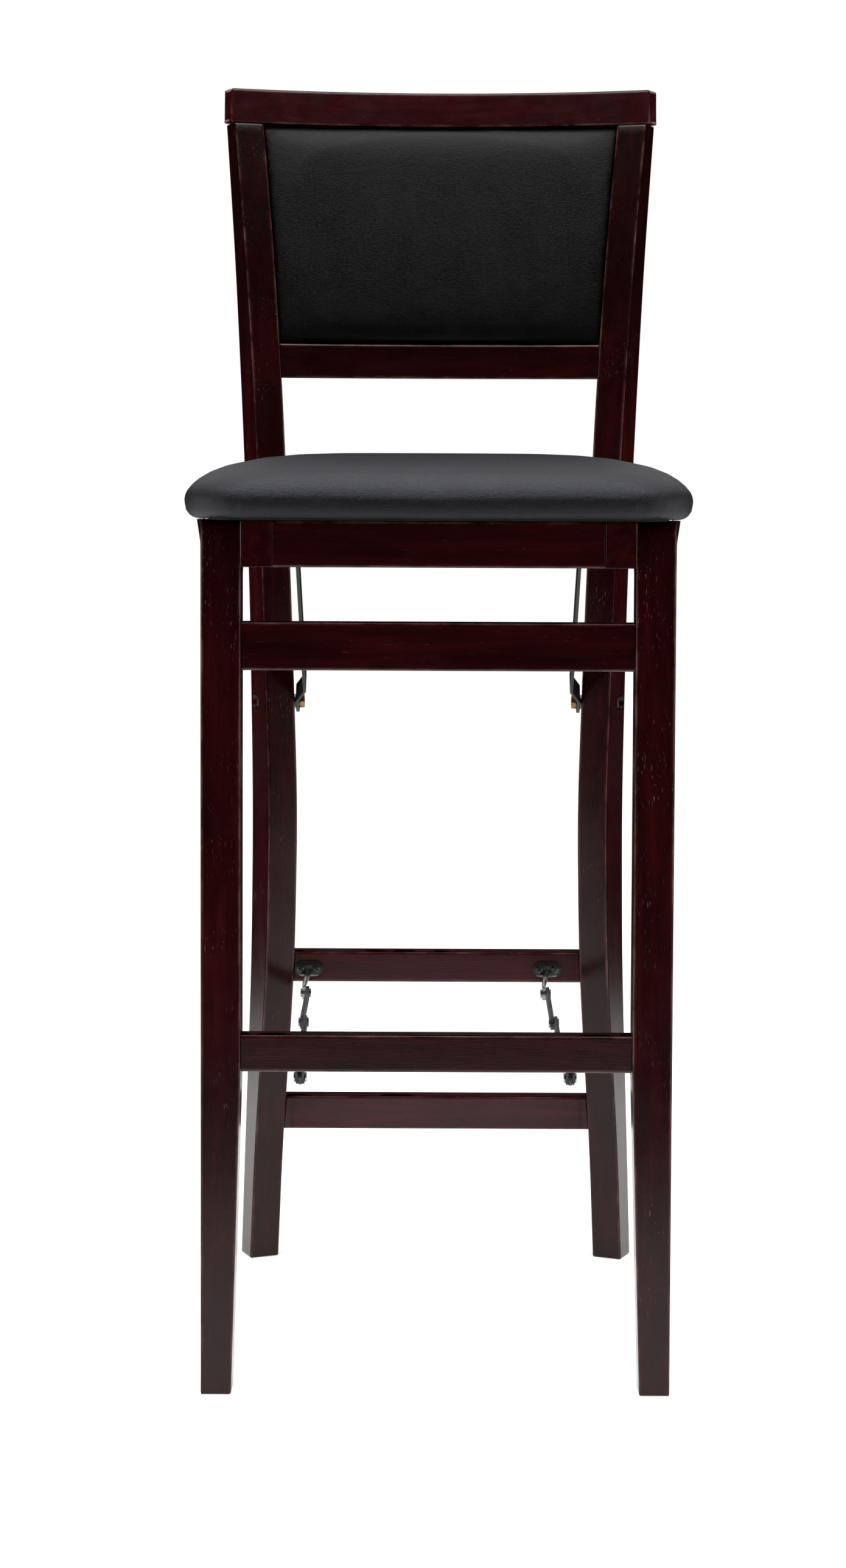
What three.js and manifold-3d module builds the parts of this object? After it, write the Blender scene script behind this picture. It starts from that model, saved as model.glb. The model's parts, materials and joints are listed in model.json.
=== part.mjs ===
// Folding bar stool, standing open, built as separate wooden, steel and padded pieces.
// Millimetres. X runs to the right seen from the front, Y to the back, Z up.
// The origin is on the floor at the middle of the stool's width and depth.
import * as THREE from 'three';
import Module from 'manifold-3d';
import { mergeVertices } from 'three/addons/utils/BufferGeometryUtils.js';

const wasm = await Module();
wasm.setup();

// Fits
const gap = 0.3;
const boltClearance = 0.3;
const cutOverrun = 3;
const weldDistance = 0.0005;
const woodEase = 2;
const degree = Math.PI / 180;

// Rear legs, one curved board each, turned in plan so that the back edge stands further out
const stileHeight = 1117.7;
const stileThickness = 30;
const stileDepth = 43;
const stileToe = 23 * degree;
const stileBow = 33;
const rearFootHalfWidth = 195.6;
const rearFootReach = 470;
const stile_height_shares = [0, 0.107, 0.259, 0.367, 0.429, 0.501, 0.603, 0.728, 0.776, 0.887, 1];
const stile_bow_shares = [0, 0.33, 0.82, 0.985, 1, 0.925, 0.76, 0.33, 0.15, -0.33, -0.955];
const stile_depth_shares = [0.605, 0.674, 0.93, 1, 0.99, 0.92, 0.837, 0.802, 0.779, 0.674, 0.535];
const stileSteps = 22;

// Back rails and pad, all on one curve that is hollow towards the sitter
const backRadius = 500;
const crestHeight = 33;
const crestThickness = 22;
const crestHalfWidth = 211;
const crestLean = 0.19;
const backPanelHeight = 212.4;
const lowerRailHeight = 33;
const lowerRailThickness = 20;
const boardThickness = 9;
const boardSetback = 14;
const backPadCrown = 6;
const backPadEdge = 6;
const backPadSquareness = 7;
const backSteps = 20;

// Rear stretchers
const upperStretcherBase = 285;
const upperStretcherHeight = 30;
const lowerStretcherBase = 133;
const lowerStretcherHeight = 33;
const stretcherThickness = 22;
const stretcherSetback = 4;

// Seat
const seatFrameTop = 747;
const seatFrameHeight = 39;
const seatFrontReach = 18;
const seatFrameLength = 358;
const seatFrameHalfWidth = 166.5;
const seatRailThickness = 27;
const seatCrossThickness = 20;
const seatRailRearRadius = 15;
const seatBoardThickness = 11;
const seatBoardHalfWidth = 195;
const seatBoardInset = 11;
const cushionHalfWidth = 216;
const cushionFront = 5;
const cushionDepth = 401;
const cushionHeight = 53;
const cushionFrontRadius = 58;
const cushionRearRadius = 44;

// Front legs
const frontLegHalfWidth = 201;
const frontLegThickness = 34;
const frontLegDepth = 33;
const frontLegLean = 38.5;
const legHeadRadius = 19.5;
const legHeelReach = 24;
const legHeelHeight = 26;
const legHeadFlare = 7;
const legFlareHeight = 41;
const legTaperHeight = 275;
const legTaper = 8;
const upperRungBase = 620;
const upperRungHeight = 41;
const upperRungThickness = 18;
const footrestBase = 278;
const footrestHeight = 32;
const footrestThickness = 20;
const rungSetback = 1.5;

// Pivots of the fold, seen from the side
const seatPivotDrop = 20;
const linkHeadReach = 227;
const linkFootSetback = 7.3;
const linkFootHeight = 560;
const stayRearForward = 22.45;
const stayRearDrop = 7;
const stayFrontBehind = 12.5;
const stayFrontDrop = 11;
const rearStayLength = 129.5;

// Link bars, bolts and nuts
const linkThickness = 3;
const linkWidth = 21;
const linkPlane = 127;
const linkFootPlane = 134.6;
const linkJoggleStart = 14;
const linkJoggleLength = 16;
const boltRadius = 4;
const boltHeadRadius = 7.5;
const boltHeadHeight = 3.5;
const counterboreDepth = 5;
const nutRadius = 7;
const nutHeight = 4.6;
const spacerRadius = 7;
const boltSides = 16;

// Folding stays and their brackets
const stayWidth = 13;
const stayThickness = 3;
const stayJoggle = 4.5;
const stayJoggleLength = 30;
const stayLeftPlane = -125.4;
const stayRightPlane = 107.8;
const stayPinRadius = 2.6;
const stayPinHeadRadius = 4.4;
const stayPinHeadHeight = 1.5;
const bracketWidth = 27;
const bracketHeight = 15;
const bracketThickness = 2.2;
const bracketRise = 6;
const eyeRadius = 6.5;
const eyeThickness = 3.4;
const neck_height_shares = [0.4, 1, 0.667];
const neck_root_share = 1.4;
const neck_bend_share = 1.04;
const neck_bend_rise_share = 1.2;
const neck_tip_rise_share = 0.7;
const clevisWidth = 25;
const clevisHeight = 20;
const clevisRise = 6;
const clevisEarThickness = 2;
const clevisEarRadius = 6;
const screwRadius = 1.8;
const screwHeadRadius = 3.6;
const screwHeadHeight = 1.8;
const screw_dome_share = 0.9;
const screwLength = 14;
const screwSpacing = 15.4;
const clevisScrewSpacing = 16.4;

// Places that follow from the sizes above
const lowerRailBase = stileHeight - backPanelHeight - gap - lowerRailHeight;
const linkFootReach = stileBackAt(linkFootHeight) - stileDepthAt(linkFootHeight) / 2 + linkFootSetback;
const legPivotHeight = seatFrameTop - seatPivotDrop;
const linkHeadHeight = seatFrameTop - seatPivotDrop;
const stayRearReach = stretcherFront(upperStretcherBase, upperStretcherHeight) - stayRearForward;
const stayRearHeight = upperStretcherBase - stayRearDrop;
const stayFrontReach = footrestFront() + footrestThickness + stayFrontBehind;
const stayFrontHeight = footrestBase - stayFrontDrop;
const bracketBase = upperStretcherBase + bracketRise;
const clevisBase = footrestBase + clevisRise;
const legPivotReach = frontLegLean * legPivotHeight / seatFrameTop + legHeadRadius;
const stileOut = new THREE.Vector3(Math.cos(stileToe), -Math.sin(stileToe), 0);
const stileBack = new THREE.Vector3(Math.sin(stileToe), Math.cos(stileToe), 0);
const upward = new THREE.Vector3(0, 0, 1);

// Finishes
const wood = { color: 0x2a0a0c, roughness: 0.3, metalness: 0 };
const hide = { color: 0x1e1e20, roughness: 0.5, metalness: 0 };
const panel = { color: 0x1a1a1c, roughness: 0.7, metalness: 0 };
const blackSteel = { color: 0x18181a, roughness: 0.4, metalness: 0.6 };
const brightSteel = { color: 0x8c8c8c, roughness: 0.3, metalness: 0.9 };
const brassPlate = { color: 0xc09a4c, roughness: 0.35, metalness: 0.9 };

function named(name, geometry, finish) {
  const mesh = new THREE.Mesh(geometry, new THREE.MeshStandardMaterial(finish));
  mesh.name = name;
  return mesh;
}

// Solids in and out of the boolean library
function solidOf(geometry) {
  const bare = new THREE.BufferGeometry();
  bare.setAttribute('position', geometry.getAttribute('position').clone());
  if (geometry.index) bare.setIndex(geometry.index.clone());
  const merged = mergeVertices(bare, weldDistance);
  return new wasm.Manifold(new wasm.Mesh({
    numProp: 3,
    vertProperties: Float32Array.from(merged.getAttribute('position').array),
    triVerts: Uint32Array.from(merged.index.array),
  }));
}

function geometryOf(solid) {
  const mesh = solid.getMesh();
  const geometry = new THREE.BufferGeometry();
  geometry.setAttribute('position', new THREE.BufferAttribute(Float32Array.from(mesh.vertProperties), 3));
  geometry.setIndex(new THREE.BufferAttribute(Uint32Array.from(mesh.triVerts), 1));
  geometry.computeVertexNormals();
  return geometry;
}

function mirrored(geometry) {
  return geometryOf(solidOf(geometry).mirror([1, 0, 0]));
}

function forSide(side, geometry) {
  return side < 0 ? mirrored(geometry) : geometry;
}

// A closed body through rings of points that all have the same count
function ringSolid(rings) {
  const count = rings[0].length;
  const positions = rings.flat(2);
  const index = [];
  for (let ring = 0; ring + 1 < rings.length; ring += 1) {
    for (let point = 0; point < count; point += 1) {
      const next = (point + 1) % count;
      const low = ring * count;
      const high = low + count;
      index.push(low + point, low + next, high + next);
      index.push(low + point, high + next, high + point);
    }
  }
  for (const [ring, flip] of [[0, true], [rings.length - 1, false]]) {
    const centre = positions.length / 3;
    const middle = [0, 0, 0];
    for (const corner of rings[ring]) corner.forEach((value, axis) => { middle[axis] += value / count; });
    positions.push(...middle);
    for (let point = 0; point < count; point += 1) {
      const here = ring * count + point;
      const next = ring * count + (point + 1) % count;
      index.push(...(flip ? [centre, next, here] : [centre, here, next]));
    }
  }
  if (signedVolume(positions, index) < 0) index.reverse();
  const geometry = new THREE.BufferGeometry();
  geometry.setAttribute('position', new THREE.BufferAttribute(new Float32Array(positions), 3));
  geometry.setIndex(index);
  geometry.computeVertexNormals();
  return geometry;
}

function signedVolume(positions, index) {
  const corner = (at) => new THREE.Vector3().fromArray(positions, index[at] * 3);
  let total = 0;
  for (let at = 0; at < index.length; at += 3) {
    total += corner(at).dot(corner(at + 1).cross(corner(at + 2)));
  }
  return total;
}

// Outline of a rectangle with rounded corners, as points in two directions
function roundedRectangle(lowA, highA, lowB, highB, radius, steps = 2) {
  const corners = [[highA, highB, 0], [lowA, highB, 1], [lowA, lowB, 2], [highA, lowB, 3]];
  const points = [];
  for (const [a, b, quarter] of corners) {
    const centreA = a - Math.sign(a - (lowA + highA) / 2) * radius;
    const centreB = b - Math.sign(b - (lowB + highB) / 2) * radius;
    for (let step = 0; step <= steps; step += 1) {
      const angle = (quarter + step / steps) * Math.PI / 2;
      points.push([centreA + radius * Math.cos(angle), centreB + radius * Math.sin(angle)]);
    }
  }
  return points;
}

// Smooth curve through a table, by cubic pieces with centred slopes
function curveThrough(xs, ys, x) {
  let cell = 0;
  while (cell + 2 < xs.length && x > xs[cell + 1]) cell += 1;
  const slope = (at) => {
    const before = Math.max(at - 1, 0);
    const after = Math.min(at + 1, xs.length - 1);
    return (ys[after] - ys[before]) / (xs[after] - xs[before]);
  };
  const span = xs[cell + 1] - xs[cell];
  const t = (x - xs[cell]) / span;
  const startWeight = 2 * t ** 3 - 3 * t ** 2 + 1;
  const startSlope = t ** 3 - 2 * t ** 2 + t;
  const endSlope = t ** 3 - t ** 2;
  return startWeight * ys[cell] + (1 - startWeight) * ys[cell + 1]
    + span * (startSlope * slope(cell) + endSlope * slope(cell + 1));
}

// Rod along X with its axis through the given place
function rodAlongX(radius, fromX, toX, y, z, sides = boltSides) {
  const geometry = new THREE.CylinderGeometry(radius, radius, toX - fromX, sides);
  geometry.rotateZ(Math.PI / 2);
  geometry.translate((fromX + toX) / 2, y, z);
  return geometry;
}

function drilled(geometry, radius, y, z) {
  const reach = rearFootHalfWidth + cutOverrun;
  return geometryOf(solidOf(geometry).subtract(solidOf(rodAlongX(radius, 0, reach, y, z))));
}

// Rear leg: back edge and depth at a height
function stileBackAt(z) {
  return rearFootReach - stileBow * curveThrough(stile_height_shares, stile_bow_shares, z / stileHeight);
}

function stileDepthAt(z) {
  return stileDepth * curveThrough(stile_height_shares, stile_depth_shares, z / stileHeight);
}

function stileFrontAt(z) {
  return stileBackAt(z) - stileDepthAt(z);
}

function stileInnerX(y) {
  return rearFootHalfWidth - stileThickness / Math.cos(stileToe) + (y - rearFootReach) * Math.tan(stileToe);
}

// The back's curve touches the stiles' inner front corners at each height
function backEdgeAt(z) {
  const height = Math.min(z, stileHeight);
  const y = stileFrontAt(height) + stileThickness * Math.sin(stileToe) + (z - height) * crestLean;
  return { x: stileInnerX(y), y };
}

function backCentreAt(z) {
  const edge = backEdgeAt(z);
  return edge.y - Math.sqrt(backRadius ** 2 - edge.x ** 2);
}

function backPoint(angle, z, setback) {
  const radius = backRadius + setback;
  return [radius * Math.sin(angle), backCentreAt(z) + radius * Math.cos(angle), z];
}

function angleAtStile(z, setback) {
  const radius = backRadius + setback;
  let angle = Math.asin(backEdgeAt(z).x / radius);
  for (let pass = 0; pass < 6; pass += 1) {
    const y = backCentreAt(z) + radius * Math.cos(angle);
    angle = Math.asin((stileInnerX(y) - gap / Math.cos(stileToe)) / radius);
  }
  return angle;
}

// A rail or pad that follows the back's curve between two limits
function backSweep(sectionAt, angleLimit, ease) {
  const shares = [];
  for (let step = 0; step <= backSteps; step += 1) shares.push(2 * step / backSteps - 1);
  const easeShare = 1 - ease / crestHalfWidth;
  if (ease > 0) shares.splice(1, 0, -easeShare);
  if (ease > 0) shares.splice(shares.length - 1, 0, easeShare);
  return ringSolid(shares.map((share) => {
    const section = sectionAt(share, Math.abs(share) === 1 ? ease : 0);
    return section.map(([setback, z]) => backPoint(share * angleLimit(z, setback), z, setback));
  }));
}

function stile(side) {
  const outline = [];
  for (let step = 0; step <= stileSteps; step += 1) {
    const z = stileHeight * step / stileSteps;
    outline.push(new THREE.Vector2((stileBackAt(z) - rearFootReach) / Math.cos(stileToe), z));
  }
  for (let step = stileSteps; step >= 0; step -= 1) {
    const z = stileHeight * step / stileSteps;
    outline.push(new THREE.Vector2((stileFrontAt(z) - rearFootReach) / Math.cos(stileToe), z));
  }
  const geometry = easedPlate(new THREE.Shape(outline), stileThickness, woodEase);
  geometry.translate(0, 0, -stileThickness);
  const basis = new THREE.Matrix4().makeBasis(stileBack, upward, stileOut);
  basis.setPosition(rearFootHalfWidth, rearFootReach, 0);
  geometry.applyMatrix4(basis);
  const headFace = stileOuterX(linkFootReach) - counterboreDepth;
  const bore = solidOf(rodAlongX(boltRadius + boltClearance, 0, rearFootHalfWidth,
    linkFootReach, linkFootHeight));
  const pocket = solidOf(rodAlongX(boltHeadRadius + boltClearance, headFace, rearFootHalfWidth,
    linkFootReach, linkFootHeight));
  return forSide(side, geometryOf(solidOf(geometry).subtract(bore).subtract(pocket)));
}

function stileOuterX(y) {
  return rearFootHalfWidth + (y - rearFootReach) * Math.tan(stileToe);
}

// A plate cut from an outline, its rim eased on both faces, from 0 to its thickness
function easedPlate(shape, thickness, ease) {
  const geometry = new THREE.ExtrudeGeometry(shape, {
    depth: thickness - 2 * ease,
    bevelEnabled: ease > 0,
    bevelThickness: ease,
    bevelSize: ease,
    bevelOffset: -ease,
    bevelSegments: 2,
    curveSegments: 8,
  });
  geometry.translate(0, 0, ease);
  return geometry;
}

function crestRail() {
  const low = stileHeight + gap;
  const section = (share, inset) => roundedRectangle(inset, crestThickness - inset,
    low + inset, low + crestHeight - inset, woodEase);
  const limit = Math.asin(crestHalfWidth / (backRadius + crestThickness));
  return backSweep(section, () => limit, woodEase);
}

function lowerBackRail() {
  const section = (share, inset) => roundedRectangle(inset, lowerRailThickness - inset,
    lowerRailBase + inset, lowerRailBase + lowerRailHeight - inset, woodEase);
  return backSweep(section, angleAtStile, 0);
}

function backBoard() {
  const low = lowerRailBase + lowerRailHeight + gap;
  const section = () => [
    [boardSetback, low],
    [boardSetback + boardThickness, low],
    [boardSetback + boardThickness, stileHeight],
    [boardSetback, stileHeight],
  ];
  return backSweep(section, angleAtStile, 0);
}

// Back pad: a crowned front whose four sides roll back to the board
function backCushion() {
  const low = lowerRailBase + lowerRailHeight + gap;
  const high = stileHeight - gap;
  const back = boardSetback - gap;
  const rows = 14;
  const roll = (share) => Math.sqrt(1 - Math.abs(share) ** backPadSquareness);
  const section = (share) => {
    const points = [[back, low], [back, high]];
    for (let row = rows; row >= 0; row -= 1) {
      const height = 2 * row / rows - 1;
      const swell = roll(share) * roll(height);
      points.push([backPadEdge - (backPadEdge + backPadCrown) * swell, low + (high - low) * row / rows]);
    }
    return points;
  };
  return backSweep(section, (z, setback) => angleAtStile(z, setback) - gap / backRadius, 0);
}

function straightRail(halfWidth, front, thickness, base, height) {
  const ring = (x, inset) => roundedRectangle(front + inset, front + thickness - inset,
    base + inset, base + height - inset, woodEase).map(([y, z]) => [x, y, z]);
  return ringSolid([ring(-halfWidth, 0), ring(halfWidth, 0)]);
}

// A stretcher between the rear legs, its ends cut to the legs' turned faces
function rearStretcher(base, height) {
  const front = stretcherFront(base, height);
  const section = roundedRectangle(front, front + stretcherThickness, base, base + height, woodEase);
  const end = (side) => section.map(([y, z]) => [side * (stileInnerX(y) - gap / Math.cos(stileToe)), y, z]);
  return ringSolid([end(-1), end(1)]);
}

function stretcherFront(base, height) {
  return stileFrontAt(base + height / 2) + stileThickness * Math.sin(stileToe) + stretcherSetback;
}

function rearFrame() {
  const group = new THREE.Group();
  for (const [side, word] of [[-1, 'left'], [1, 'right']]) {
    group.add(named(`stile_${word}`, stile(side), wood));
  }
  group.add(named('crest_rail', crestRail(), wood));
  group.add(named('lower_back_rail', lowerBackRail(), wood));
  group.add(named('back_board', backBoard(), panel));
  group.add(named('back_cushion', backCushion(), hide));
  const upperFront = stretcherFront(upperStretcherBase, upperStretcherHeight);
  const places = [...bracketScrews(stayLeftPlane), ...bracketScrews(stayRightPlane)];
  const upper = screwBored(rearStretcher(upperStretcherBase, upperStretcherHeight), places,
    upperFront - cutOverrun, upperFront + screwLength);
  group.add(named('rear_upper_stretcher', upper, wood));
  group.add(named('rear_lower_stretcher', rearStretcher(lowerStretcherBase, lowerStretcherHeight), wood));
  return group;
}

// A headed bolt along X with its head outwards, from the head's face in to the tip
function headedBolt(headFace, tip) {
  const shank = solidOf(rodAlongX(boltRadius, tip, headFace + boltHeadHeight / 2, 0, 0));
  const profile = [[0, 0], [boltHeadRadius, 0], [boltHeadRadius, boltHeadHeight / 2],
    [boltHeadRadius / 2, boltHeadHeight], [0, boltHeadHeight]];
  const head = new THREE.LatheGeometry(profile.map(([r, h]) => new THREE.Vector2(r, h)), boltSides);
  head.rotateZ(-Math.PI / 2);
  head.translate(headFace, 0, 0);
  return geometryOf(shank.add(solidOf(head)));
}

// A ring along X that a bolt passes through
function sleeve(radius, fromX, toX, sides = boltSides) {
  const tube = solidOf(rodAlongX(radius, fromX, toX, 0, 0, sides));
  const bore = rodAlongX(boltRadius + boltClearance, fromX - cutOverrun, toX + cutOverrun, 0, 0);
  return geometryOf(tube.subtract(solidOf(bore)));
}

function hexNut(fromX, toX) {
  return sleeve(nutRadius, fromX, toX, 6);
}

// Spacer between the link's foot and the leg's turned inner face
function linkFootSpacer() {
  const from = linkFootPlane + linkThickness + gap;
  const reach = stileInnerX(linkFootReach) + spacerRadius;
  const tube = solidOf(sleeve(spacerRadius, from, reach));
  const cutter = new THREE.BoxGeometry(stileThickness, stileDepth, stileDepth);
  cutter.translate(stileThickness / 2, 0, 0);
  cutter.rotateZ(-stileToe);
  cutter.translate(stileInnerX(linkFootReach) - gap / Math.cos(stileToe), 0, 0);
  return geometryOf(tube.subtract(solidOf(cutter)));
}

function linkFootHardware(side, word) {
  const group = new THREE.Group();
  const headFace = stileOuterX(linkFootReach) - counterboreDepth + gap;
  const nutFace = linkFootPlane - gap;
  const bolt = headedBolt(headFace, nutFace - nutHeight);
  group.add(named(`link_foot_bolt_${word}`, forSide(side, bolt), blackSteel));
  group.add(named(`link_foot_nut_${word}`, forSide(side, hexNut(nutFace - nutHeight, nutFace)), brassPlate));
  group.add(named(`link_foot_spacer_${word}`, forSide(side, linkFootSpacer()), brightSteel));
  group.position.set(0, linkFootReach, linkFootHeight);
  return group;
}

// Flat bar with round ends and a hole at each, from the origin along Y, its thickness along X
function jointedBar(length, width, path, holeRadius) {
  const half = width / 2;
  const strip = new THREE.ExtrudeGeometry(new THREE.Shape(path), { depth: width, bevelEnabled: false });
  strip.translate(0, 0, -half);
  const outline = new THREE.Shape();
  outline.absarc(0, 0, half, Math.PI / 2, 3 * Math.PI / 2, false);
  outline.absarc(length, 0, half, -Math.PI / 2, Math.PI / 2, false);
  const reach = rearFootHalfWidth;
  const cutter = new THREE.ExtrudeGeometry(outline,
    { depth: 2 * reach, bevelEnabled: false, curveSegments: 8 });
  cutter.rotateX(Math.PI / 2);
  cutter.rotateZ(Math.PI / 2);
  let solid = solidOf(strip).intersect(centredOnX(cutter));
  for (const at of [0, length]) {
    solid = solid.subtract(solidOf(rodAlongX(holeRadius, -reach, reach, at, 0)));
  }
  return geometryOf(solid);
}

function centredOnX(geometry) {
  geometry.computeBoundingBox();
  const box = geometry.boundingBox;
  geometry.translate(-(box.min.x + box.max.x) / 2, 0, 0);
  return solidOf(geometry);
}

// Side line of a flat bar that steps sideways over a short length
function joggledPath(length, width, firstPlane, secondPlane, thickness, start, stepLength) {
  const half = width / 2;
  const face = (offset) => [
    [firstPlane + offset, -half],
    [firstPlane + offset, start],
    [secondPlane + offset, start + stepLength],
    [secondPlane + offset, length + half],
  ];
  const points = [...face(0), ...face(thickness).reverse()];
  return points.map(([x, y]) => new THREE.Vector2(x, y));
}

function linkBar(side, word) {
  const run = linkHeadReach - linkFootReach;
  const rise = linkHeadHeight - linkFootHeight;
  const length = Math.hypot(run, rise);
  const path = joggledPath(length, linkWidth, linkFootPlane, linkPlane, linkThickness,
    linkJoggleStart, linkJoggleLength);
  const bar = forSide(side, jointedBar(length, linkWidth, path, boltRadius + boltClearance));
  const mesh = named(`link_${word}`, bar, blackSteel);
  mesh.position.set(0, linkFootReach, linkFootHeight);
  mesh.rotation.x = Math.atan2(rise, run);
  return mesh;
}

// Seat side rail with its two bolt holes and a rounded lower back corner
function seatSideRail(side) {
  const low = seatFrameTop - seatFrameHeight;
  const back = seatFrontReach + seatFrameLength;
  const shape = new THREE.Shape();
  shape.moveTo(seatFrontReach, low);
  shape.lineTo(back - seatRailRearRadius, low);
  shape.absarc(back - seatRailRearRadius, low + seatRailRearRadius, seatRailRearRadius, -Math.PI / 2, 0, false);
  shape.lineTo(back, seatFrameTop);
  shape.lineTo(seatFrontReach, seatFrameTop);
  shape.closePath();
  const geometry = easedPlate(shape, seatRailThickness, woodEase / 2);
  geometry.applyMatrix4(new THREE.Matrix4().makeBasis(new THREE.Vector3(0, 1, 0), upward,
    new THREE.Vector3(1, 0, 0)));
  geometry.translate(seatFrameHalfWidth - seatRailThickness, 0, 0);
  const pierced = drilled(geometry, boltRadius + boltClearance, legPivotReach, legPivotHeight);
  return forSide(side, drilled(pierced, boltRadius + boltClearance, linkHeadReach, linkHeadHeight));
}

// Rounded outline of the seat pad at an inset from its widest line
function seatOutline(inset) {
  const half = cushionHalfWidth - inset;
  const front = cushionFront + inset;
  const back = cushionFront + cushionDepth - inset;
  const steps = 9;
  const points = [];
  const room = Math.min(half, (back - front) / 2);
  const corners = [[1, back, cushionRearRadius, 0], [-1, back, cushionRearRadius, 1],
    [-1, front, cushionFrontRadius, 2], [1, front, cushionFrontRadius, 3]];
  for (const [sideSign, edge, radiusWanted, quarter] of corners) {
    const radius = Math.min(radiusWanted, room);
    const centreX = sideSign * (half - radius);
    const centreY = edge + (edge === back ? -radius : radius);
    for (let step = 0; step <= steps; step += 1) {
      const angle = (quarter + step / steps) * Math.PI / 2;
      points.push([centreX + radius * Math.cos(angle), centreY + radius * Math.sin(angle)]);
    }
  }
  return points;
}

// Seat pad: fullest low on its sides, rolled over the edges, crowned on top, hollow below for the board
function seatCushion() {
  const base = seatFrameTop + gap;
  const height_shares = [0, 0.06, 0.16, 0.3, 0.45, 0.58, 0.73, 0.83, 0.92, 0.975, 1];
  const inset_shares = [0.05, 0.015, 0, 0.005, 0.017, 0.038, 0.08, 0.128, 0.22, 0.37, 0.69];
  const rings = height_shares.map((share, at) => seatOutline(inset_shares[at] * cushionHalfWidth)
    .map(([x, y]) => [x, y, base + share * cushionHeight]));
  const recess = seatBoardGeometry(gap, cutOverrun);
  return geometryOf(solidOf(ringSolid(rings)).subtract(solidOf(recess)));
}

function seatBoardGeometry(grow, overrun) {
  const halfWidth = seatBoardHalfWidth + grow;
  const front = cushionFront + seatBoardInset - grow;
  const back = cushionFront + cushionDepth - seatBoardInset + grow;
  const outline = roundedRectangle(-halfWidth, halfWidth, front, back, cushionFrontRadius / 2, 5);
  const base = seatFrameTop + gap;
  const ring = (z) => outline.map(([x, y]) => [x, y, z]);
  return ringSolid([ring(base - overrun), ring(base + seatBoardThickness + grow)]);
}

function boltSet(side, names, headFace, nutFace, tip, y, z) {
  const group = new THREE.Group();
  group.add(named(names.bolt, forSide(side, headedBolt(headFace, tip)), blackSteel));
  group.add(named(names.nut, forSide(side, hexNut(nutFace - nutHeight, nutFace)), brassPlate));
  group.position.set(0, y, z);
  return group;
}

function seat() {
  const group = new THREE.Group();
  const low = seatFrameTop - seatFrameHeight;
  const innerHalf = seatFrameHalfWidth - seatRailThickness - gap;
  const rearFront = seatFrontReach + seatFrameLength - seatCrossThickness;
  const railInner = seatFrameHalfWidth - seatRailThickness;
  group.add(named('seat_front_rail',
    straightRail(innerHalf, seatFrontReach, seatCrossThickness, low, seatFrameHeight), wood));
  group.add(named('seat_rear_rail',
    straightRail(innerHalf, rearFront, seatCrossThickness, low, seatFrameHeight), wood));
  group.add(named('seat_board', seatBoardGeometry(0, 0), panel));
  group.add(named('seat_cushion', seatCushion(), hide));
  for (const [side, word] of [[-1, 'left'], [1, 'right']]) {
    group.add(named(`seat_side_rail_${word}`, seatSideRail(side), wood));
    const linkInner = linkPlane - gap;
    group.add(boltSet(side, { bolt: `link_head_bolt_${word}`, nut: `link_head_nut_${word}` },
      seatFrameHalfWidth + gap, linkInner, linkInner - nutHeight, linkHeadReach, linkHeadHeight));
    const spacer = sleeve(spacerRadius, linkPlane + linkThickness + gap, railInner - gap);
    const spacerMesh = named(`link_head_spacer_${word}`, forSide(side, spacer), brightSteel);
    spacerMesh.position.set(0, linkHeadReach, linkHeadHeight);
    group.add(spacerMesh);
    const pivotHead = frontLegHalfWidth - counterboreDepth / 2 + gap;
    group.add(boltSet(side, { bolt: `leg_pivot_bolt_${word}`, nut: `leg_pivot_nut_${word}` },
      pivotHead, railInner - gap, railInner - gap - nutHeight, legPivotReach, legPivotHeight));
  }
  return group;
}

// Front leg: straight and leaning, round-nosed head with a heel behind, foot tapered on the inner side
function frontLeg(side) {
  const lean = frontLegLean / seatFrameTop;
  const headTop = legPivotHeight + legHeadRadius;
  const pivotBack = legPivotReach + legHeelReach;
  const rearAt = (z) => frontLegDepth + lean * z;
  const shape = new THREE.Shape();
  const taperStart = legTaperHeight;
  shape.moveTo(0, 0);
  shape.lineTo(frontLegDepth, 0);
  shape.lineTo(rearAt(taperStart), taperStart);
  shape.lineTo(rearAt(legPivotHeight - legHeelHeight), legPivotHeight - legHeelHeight);
  shape.quadraticCurveTo(pivotBack, legPivotHeight, pivotBack, headTop);
  shape.lineTo(legPivotReach, headTop);
  shape.absarc(legPivotReach, legPivotHeight, legHeadRadius, Math.PI / 2, Math.PI - Math.atan(lean), false);
  shape.lineTo(lean * taperStart, taperStart);
  shape.closePath();
  const geometry = easedPlate(shape, frontLegThickness, woodEase);
  geometry.applyMatrix4(new THREE.Matrix4().makeBasis(new THREE.Vector3(0, 1, 0), upward,
    new THREE.Vector3(1, 0, 0)));
  geometry.translate(frontLegHalfWidth - frontLegThickness, 0, 0);
  const place = geometry.getAttribute('position');
  for (let at = 0; at < place.count; at += 1) {
    const x = place.getX(at);
    const y = place.getY(at);
    const z = place.getZ(at);
    const inward = (frontLegHalfWidth - x) / frontLegThickness;
    const taper = legTaper * Math.max(0, 1 - z / legTaperHeight) * inward;
    const rise = Math.max(0, (z - headTop + legFlareHeight) / legFlareHeight);
    const rearward = (y - lean * z) / (frontLegDepth + legHeelReach - legHeadRadius / 2);
    const flare = legHeadFlare * rise * Math.min(Math.max(rearward, 0), 1) * (1 - inward);
    place.setX(at, x + taper + flare);
  }
  const pivot = solidOf(rodAlongX(boltRadius + boltClearance, 0, rearFootHalfWidth * 2,
    legPivotReach, legPivotHeight));
  const pocket = solidOf(rodAlongX(boltHeadRadius + boltClearance, frontLegHalfWidth - counterboreDepth / 2,
    rearFootHalfWidth * 2, legPivotReach, legPivotHeight));
  return forSide(side, geometryOf(solidOf(geometry).subtract(pivot).subtract(pocket)));
}

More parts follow.
